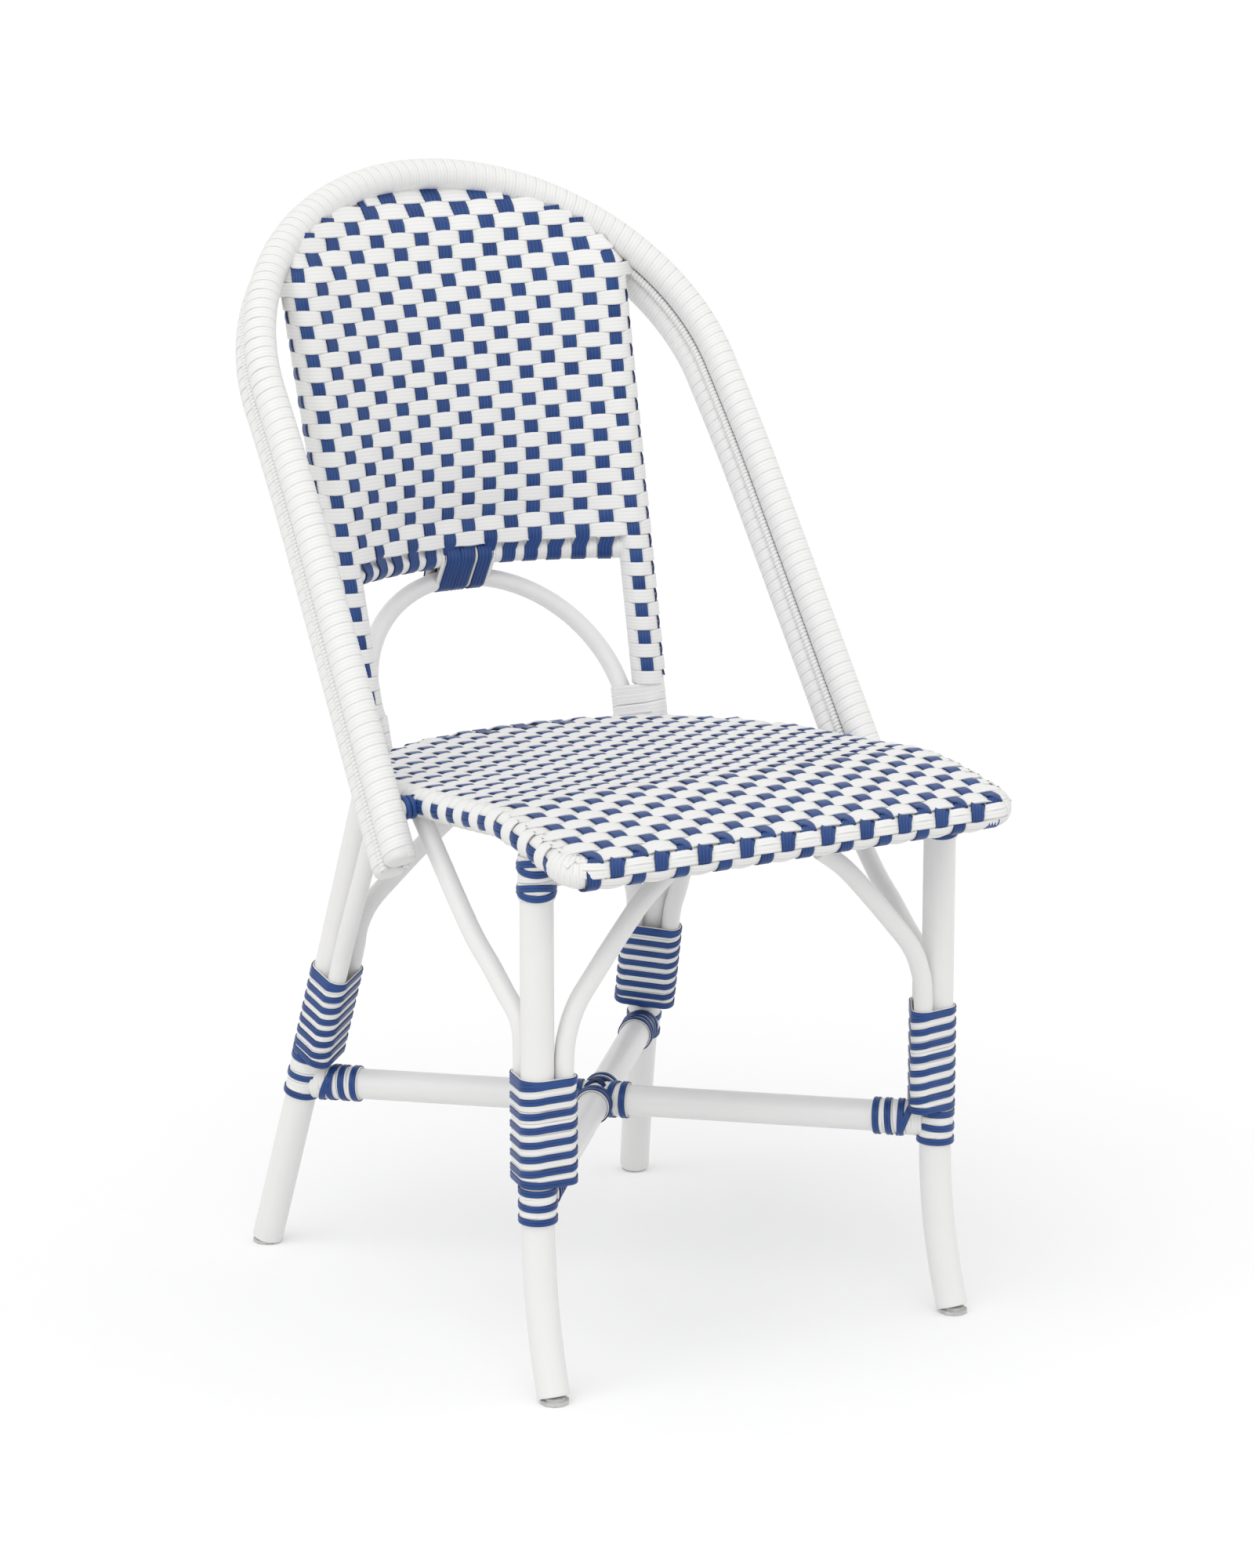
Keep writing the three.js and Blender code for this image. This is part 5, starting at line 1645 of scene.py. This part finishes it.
    def _side_cords(self) -> list[Run]:
        """Return the navy band low on each side rail, which passes over and under the white bands."""
        runs = []
        line = self._side_line()
        for side, k in ((-1, self.first_column - 1), (1, self.last_column + 1)):
            wave = self.cord_wave * self._wave(k, self._row_at(-line[:, 1]))
            for turn in self.cord_halves:
                runs.append(self._along_rail(mirrored(line, side), self.cord_angle + turn, wave))
        return runs

    def build(self, shop: Workshop) -> None:
        """Build the bands of the seat."""
        line = PLAN.rail_line()
        under = coiled(line, np.tile(UP, (len(line), 1)), PLAN.rail_radius + 0.1, 11.6, 24, True)
        shop.strand("wrap_seat_rail", [under], Kind.WOVEN, width=11.3, thickness=0.8, ridges=4, groove=0.4)
        wefts = [self._weft(row) for row in range(self.last_row + 1)]
        warps = [self._warp(k) for k in range(self.first_column, self.last_column + 1)]
        for word, runs, kind, width, ridges, *nodes in (
            ("white", wefts, Kind.WOVEN, self.weft_width, 4, "seat_weave"),
            ("rows", self._back_rows(), Kind.WOVEN, self.front_width, 2),
            ("beds", self._side_beds(), Kind.WOVEN, self.front_width, 4),
            ("front", self._front_rows(), Kind.WOVEN, self.front_width, 2),
            ("corners", self._corner_cords(), Kind.WOVEN, self.corner_cord_width, 3),
            ("navy", warps, Kind.NAVY, self.band_width, 4),
            ("sides", self._side_cords(), Kind.NAVY, self.cord_half_width, 2),
        ):
            shop.band(f"weave_seat_{word}", runs, kind, *nodes, width=width, thickness=self.thickness, ridges=ridges)


@dataclass
class Bindings:
    """The cord bindings at the joints: white sleeves with navy cord wound over them."""

    sleeve_width: float = 8.8
    sleeve_pitch: float = 9.0
    sleeve_thickness: float = 1.1
    cord_width: float = 5.3
    cord_thickness: float = 0.95
    bottoms: tuple[float, float] = (165.0, 173.5)
    heights: tuple[float, float] = (84.0, 79.0)
    joint_bottom: float = 136.0
    stretcher_sleeve: float = 37.0
    crossing_reach: float = 27.0
    top_height: float = 33.8
    plain_bottom: float = 428.7
    plain_height: float = 25.0
    arch_binding_width: float = 53.0

    def _sleeve(self, shop: Workshop, name: str, runs: Sequence[Run], *nodes: str) -> None:
        """Build a white sleeve."""
        shop.strand(name, runs, Kind.WHITE, *nodes, width=self.sleeve_width, thickness=self.sleeve_thickness,
                    ridges=3, groove=0.45)

    def _cord(self, shop: Workshop, name: str, runs: Sequence[Run], *nodes: str) -> None:
        """Build navy cord."""
        shop.strand(name, runs, Kind.NAVY, *nodes, width=self.cord_width, thickness=self.cord_thickness,
                    ridges=2, groove=0.4, detail=3)

    def _wound(self, wrap: Wrap, place: Place, offset: float, low: float, high: float) -> list[Run]:
        """Return a plain sleeve's run between two heights."""
        low, high = low + self.sleeve_width / 2, high - self.sleeve_width / 2
        rings = [wrap.ring(place, offset, low), wrap.ring(place, offset, high)]
        if high - low < self.sleeve_pitch * 0.7:
            return rings
        return rings + [wrap.helix(place, offset, low, (high - low) / self.sleeve_pitch, self.sleeve_pitch)]

    def build(self, shop: Workshop) -> None:
        """Build every binding."""
        for index, (end, is_front) in enumerate(ENDS):
            for label, side in SIDES:
                self._leg_binding(shop, f"{end}_", label, is_front, side, index)
                self._joint(shop, end, label, is_front, side, index)
        for label, side in SIDES:
            self._front_top(shop, label, side)
            self._plain(shop, label, side)
        self._crossing(shop)
        self._arch(shop)

    def _leg_binding(self, shop: Workshop, end: str, label: str, is_front: bool, side: int, index: int) -> None:
        """Build the large binding of a leg and its two braces."""
        bottom, height = self.bottoms[index], self.heights[index]
        place = Place.along(PLAN.leg_at(is_front, side, bottom), PLAN.leg_direction(is_front, side))
        braces = [(*PLAN.brace_spot(is_front, is_side, side)[:2], PLAN.brace_radius) for is_side in (False, True)]
        wrap = Wrap([(0, 0, PLAN.pole_radius), *braces])
        self._sleeve(shop, f"sleeve_{end}binding_{label}", self._wound(wrap, place, 0.7, 0, height),
                     f"{end}binding_{label}")
        low, high = self.cord_width / 2 + 0.4, height - self.cord_width / 2 - 0.4
        pitch = (high - low) / 7
        runs = [wrap.ring(place, 1.75, low), wrap.helix(place, 1.8, low, 7, pitch, radians(-60)),
                wrap.ring(place, 1.75, high)]
        self._cord(shop, f"cord_{end}binding_{label}", runs, f"{end}binding_cord_{label}")

    def _joint(self, shop: Workshop, end: str, label: str, is_front: bool, side: int, index: int) -> None:
        """Build the wraps where a stretcher meets a leg."""
        origin = PLAN.leg_at(is_front, side, self.joint_bottom)
        span = PLAN.leg_at(is_front, side, self.bottoms[index]) - origin
        length = np.linalg.norm(span)
        on_leg = Place.along(origin, span)
        pole = Wrap([(0, 0, PLAN.pole_radius)])
        joint = PLAN.stretcher_end(is_front, side)
        along = unit(PLAN.crossing - joint)
        on_bar = Place.along(joint, along)
        bar = Wrap([(0, 0, PLAN.stretcher_radius)])
        start = PLAN.pole_radius - 4
        sleeves = self._wound(pole, on_leg, 0.5, 0, length - 0.5)
        sleeves += self._wound(bar, on_bar, 0.5, start, PLAN.pole_radius + self.stretcher_sleeve)
        self._sleeve(shop, f"sleeve_{end}_joint_{label}", sleeves, f"{end}_joint_wrap_{label}")
        low = self.cord_width / 2 + 0.5
        towards = on_leg.axes @ along
        angle = atan2(towards[1], towards[0])
        runs = [pole.ring(on_leg, 1.6, low + (length - 2 * low) * share, tilt, angle)
                for share, tilt in ((0.0, 0.3), (0.5, 1.0), (1.0, 0.6))]
        self._cord(shop, f"cord_{end}_joint_{label}", runs, f"{end}_joint_cord_{label}")
        first = PLAN.pole_radius + 6.5
        last = PLAN.pole_radius + self.stretcher_sleeve - low
        runs = [bar.ring(on_bar, 1.6, last, 0.6), bar.ring(on_bar, 1.65, last - 9.6, 1.2),
                bar.ring(on_bar, 1.7, last - 19.0, 1.8, 1.0), bar.ring(on_bar, 1.9, first + 4, 6.0, 2.2)]
        self._cord(shop, f"cord_{end}_stretcher_{label}", runs, f"{end}_stretcher_cord_{label}")

    def _front_top(self, shop: Workshop, label: str, side: int) -> None:
        """Build the wrap at the top of a front leg, with two pairs of crossing turns."""
        y = PLAN.leg_at(True, side, 0)[1] - PLAN.pole_radius - 4.3
        top = PLAN.rail_height(y) - PLAN.woven_rail_radius + 2
        place = Place.along(PLAN.leg_at(True, side, top - self.top_height), UP)
        wrap = Wrap([(0, 0, PLAN.pole_radius)])
        self._sleeve(shop, f"sleeve_front_top_{label}", self._wound(wrap, place, 0.5, 0, self.top_height),
                     f"front_top_wrap_{label}")
        runs = []
        for middle in (7.2, 25.6):
            for tilt in (-1, 1):
                runs.append(wrap.ring(place, 1.6 + 0.15 * tilt, middle, 4.3 * tilt, radians(-120)))
        self._cord(shop, f"cord_front_top_{label}", runs, f"front_top_cord_{label}")

    def _plain(self, shop: Workshop, label: str, side: int) -> None:
        """Build the white wrap that ties the arch's foot to a post."""
        axis = PLAN.post_at(np.array([self.plain_bottom, self.plain_bottom + self.plain_height]), side)
        place = Place.along(axis[0], axis[1] - axis[0])
        spot = place.axes @ np.array([-PLAN.arch_post_inset * side, PLAN.arch_post_setback, 0])
        wrap = Wrap([(0, 0, PLAN.post_radius), (spot[0], spot[1], PLAN.arch_radius)])
        runs = self._wound(wrap, place, 0.3, -1, np.linalg.norm(axis[1] - axis[0]) + 4)
        self._sleeve(shop, f"sleeve_post_{label}", runs, f"post_wrap_{label}")

    def _crossing(self, shop: Workshop) -> None:
        """Build the lashing where the stretchers cross."""
        bar = Wrap([(0, 0, PLAN.stretcher_radius)])
        middle = PLAN.crossing
        ends = [PLAN.stretcher_end(True, 1), PLAN.stretcher_end(False, -1),
                PLAN.stretcher_end(True, -1), PLAN.stretcher_end(False, 1)]
        sleeves, cords, ways = [], [], []
        for end in ends:
            along = unit(end - middle)
            place = Place.along(middle, along)
            ways.append(along)
            sleeves += self._wound(bar, place, 0.5, 0, self.crossing_reach)
            cords.append(bar.ring(place, 1.7, self.crossing_reach - self.cord_width / 2 - 0.5))
            cords.append(bar.ring(place, 1.8, self.crossing_reach - 12.5, 2.0, pi / 3))
        wrap = Wrap([(0, 0, PLAN.stretcher_radius + 1.2)])
        for first, second in ((0, 2), (1, 3), (0, 3), (1, 2)):
            cords.append(wrap.ring(Place.along(middle, ways[first] - ways[second]), 1.9, 0.0))
        self._sleeve(shop, "sleeve_crossing", sleeves, "crossing_lashing")
        self._cord(shop, "cord_crossing", cords)

    def _arch(self, shop: Workshop) -> None:
        """Build the binding of the arch's crown to the bottom rail."""
        height = PLAN.back_rail_height
        rail = PLAN.back_face(0.0, np.array(height))
        arch = PLAN.arch_line()
        crown = arch[len(arch) // 2]
        place = Place(np.array([0.0, rail[1], rail[2]]), np.array([[0, 1.0, 0], [0, 0, 1.0], [1.0, 0, 0]]))
        wrap = Wrap([(0, 0, 10.4), (crown[1] - rail[1], crown[2] - rail[2], PLAN.arch_radius + 0.2)])
        half = self.arch_binding_width / 2
        sleeve = [wrap.ring(place, 0.2, x) for x in np.linspace(-half + 5, half - 5, 5)]
        self._sleeve(shop, "sleeve_arch", sleeve)
        cords = [wrap.ring(place, 1.3, x, tilt, radians(200))
                 for x, tilt in ((-17.5, 2.4), (-1.5, -0.6), (14.0, 0.8))]
        shop.strand("cord_arch", cords, Kind.NAVY, "arch_binding", width=13.5, thickness=1.5, ridges=4, groove=0.4)


@dataclass
class Studio:
    """The pale floor, the soft light and the camera of the photograph."""

    floor_size: float = 60.0
    camera_place: tuple[float, float, float] = (-1.8548, -2.88264, 1.166)
    camera_pitch: float = -12.43
    camera_turn: float = -33.21
    lens: float = 100.8
    world_light: float = 0.68
    floor_lift: float = 0.16
    lamps: tuple[tuple[str, float, float, float, float], ...] = (
        ("key", 1.05, 48.0, -62.0, 70.0),
        ("fill", 0.4, 30.0, 40.0, 90.0),
    )

    def build(self) -> None:
        """Build the stage."""
        self._camera()
        self._floor()
        self._world()
        self._lights()
        bpy.context.scene.view_settings.view_transform = "Standard"

    def _camera(self) -> None:
        """Place the camera."""
        data = bpy.data.cameras.new("camera")
        data.sensor_fit, data.sensor_height, data.lens = "VERTICAL", 36.0, self.lens
        camera = placed("camera", data)
        camera.location = self.camera_place
        camera.rotation_euler = (radians(90 + self.camera_pitch), 0, radians(self.camera_turn))
        bpy.context.scene.camera = camera

    def _seen(self, book: Nodes) -> Socket:
        """Return 1 for rays of the camera and of glossy or clear surfaces."""
        path = book.node("ShaderNodeLightPath")
        seen = Socket(book, path.outputs["Is Camera Ray"])
        for name in ("Is Glossy Ray", "Is Transmission Ray"):
            seen = seen.most(Socket(book, path.outputs[name]))
        return seen

    def _floor(self) -> None:
        """Lay the floor."""
        half = self.floor_size / 2
        mesh = bpy.data.meshes.new("floor")
        mesh.from_pydata([(-half, -half, 0), (half, -half, 0), (half, half, 0), (-half, half, 0)], [], [(0, 1, 2, 3)])
        floor = placed("floor", mesh)
        book = Finish("studio_floor")
        matt = book.node("ShaderNodeBsdfDiffuse", Color=tone(0.88, 0.88, 0.88))
        glow = book.node("ShaderNodeEmission", Color=tone(1, 1, 1), Strength=self._seen(book) * self.floor_lift)
        both = book.node("ShaderNodeAddShader", in0=matt.outputs[0], in1=glow.outputs[0])
        book.node("ShaderNodeOutputMaterial", Surface=both.outputs[0])
        mesh.materials.append(book.material)

    def _world(self) -> None:
        """Light the room evenly, with a white that only the camera and gloss see."""
        world = bpy.data.worlds.new("room")
        bpy.context.scene.world = world
        world.use_nodes = True
        world.node_tree.nodes.clear()
        book = Nodes(world.node_tree)
        strength = self._seen(book) * (1 - self.world_light) + self.world_light
        back = book.node("ShaderNodeBackground", Color=tone(1, 1, 1), Strength=strength)
        book.node("ShaderNodeOutputWorld", Surface=back.outputs[0])

    def _lights(self) -> None:
        """Hang the wide lamps."""
        for name, strength, height, turn, width in self.lamps:
            data = bpy.data.lights.new(name, "SUN")
            data.energy, data.angle = strength, radians(width)
            placed(name, data).rotation_euler = (radians(90 - height), 0, radians(turn))


@dataclass
class Feet:
    """The glides below the legs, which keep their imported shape."""

    def build(self, shop: Workshop) -> None:
        """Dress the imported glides."""
        for end, _ in ENDS:
            for label, _ in SIDES:
                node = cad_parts[f"{end}_glide_{label}"]
                node.data.materials.clear()
                node.data.materials.append(shop.finishes[Kind.GLIDE])
                LOG.info("%s: packed shape, %s", node.name, Kind.GLIDE.value)


def main() -> None:
    """Build the chair and its stage."""
    logging.basicConfig(level=logging.INFO, format="%(name)s: %(message)s")
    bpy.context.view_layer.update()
    Studio().build()
    shop = Workshop()
    for group in (PoleFrame(), Hoop(), BackWeave(), SeatWeave(), Bindings(), Feet()):
        group.build(shop)
    LOG.info("%d pieces", shop.pieces)


if __name__ == "__main__":
    main()
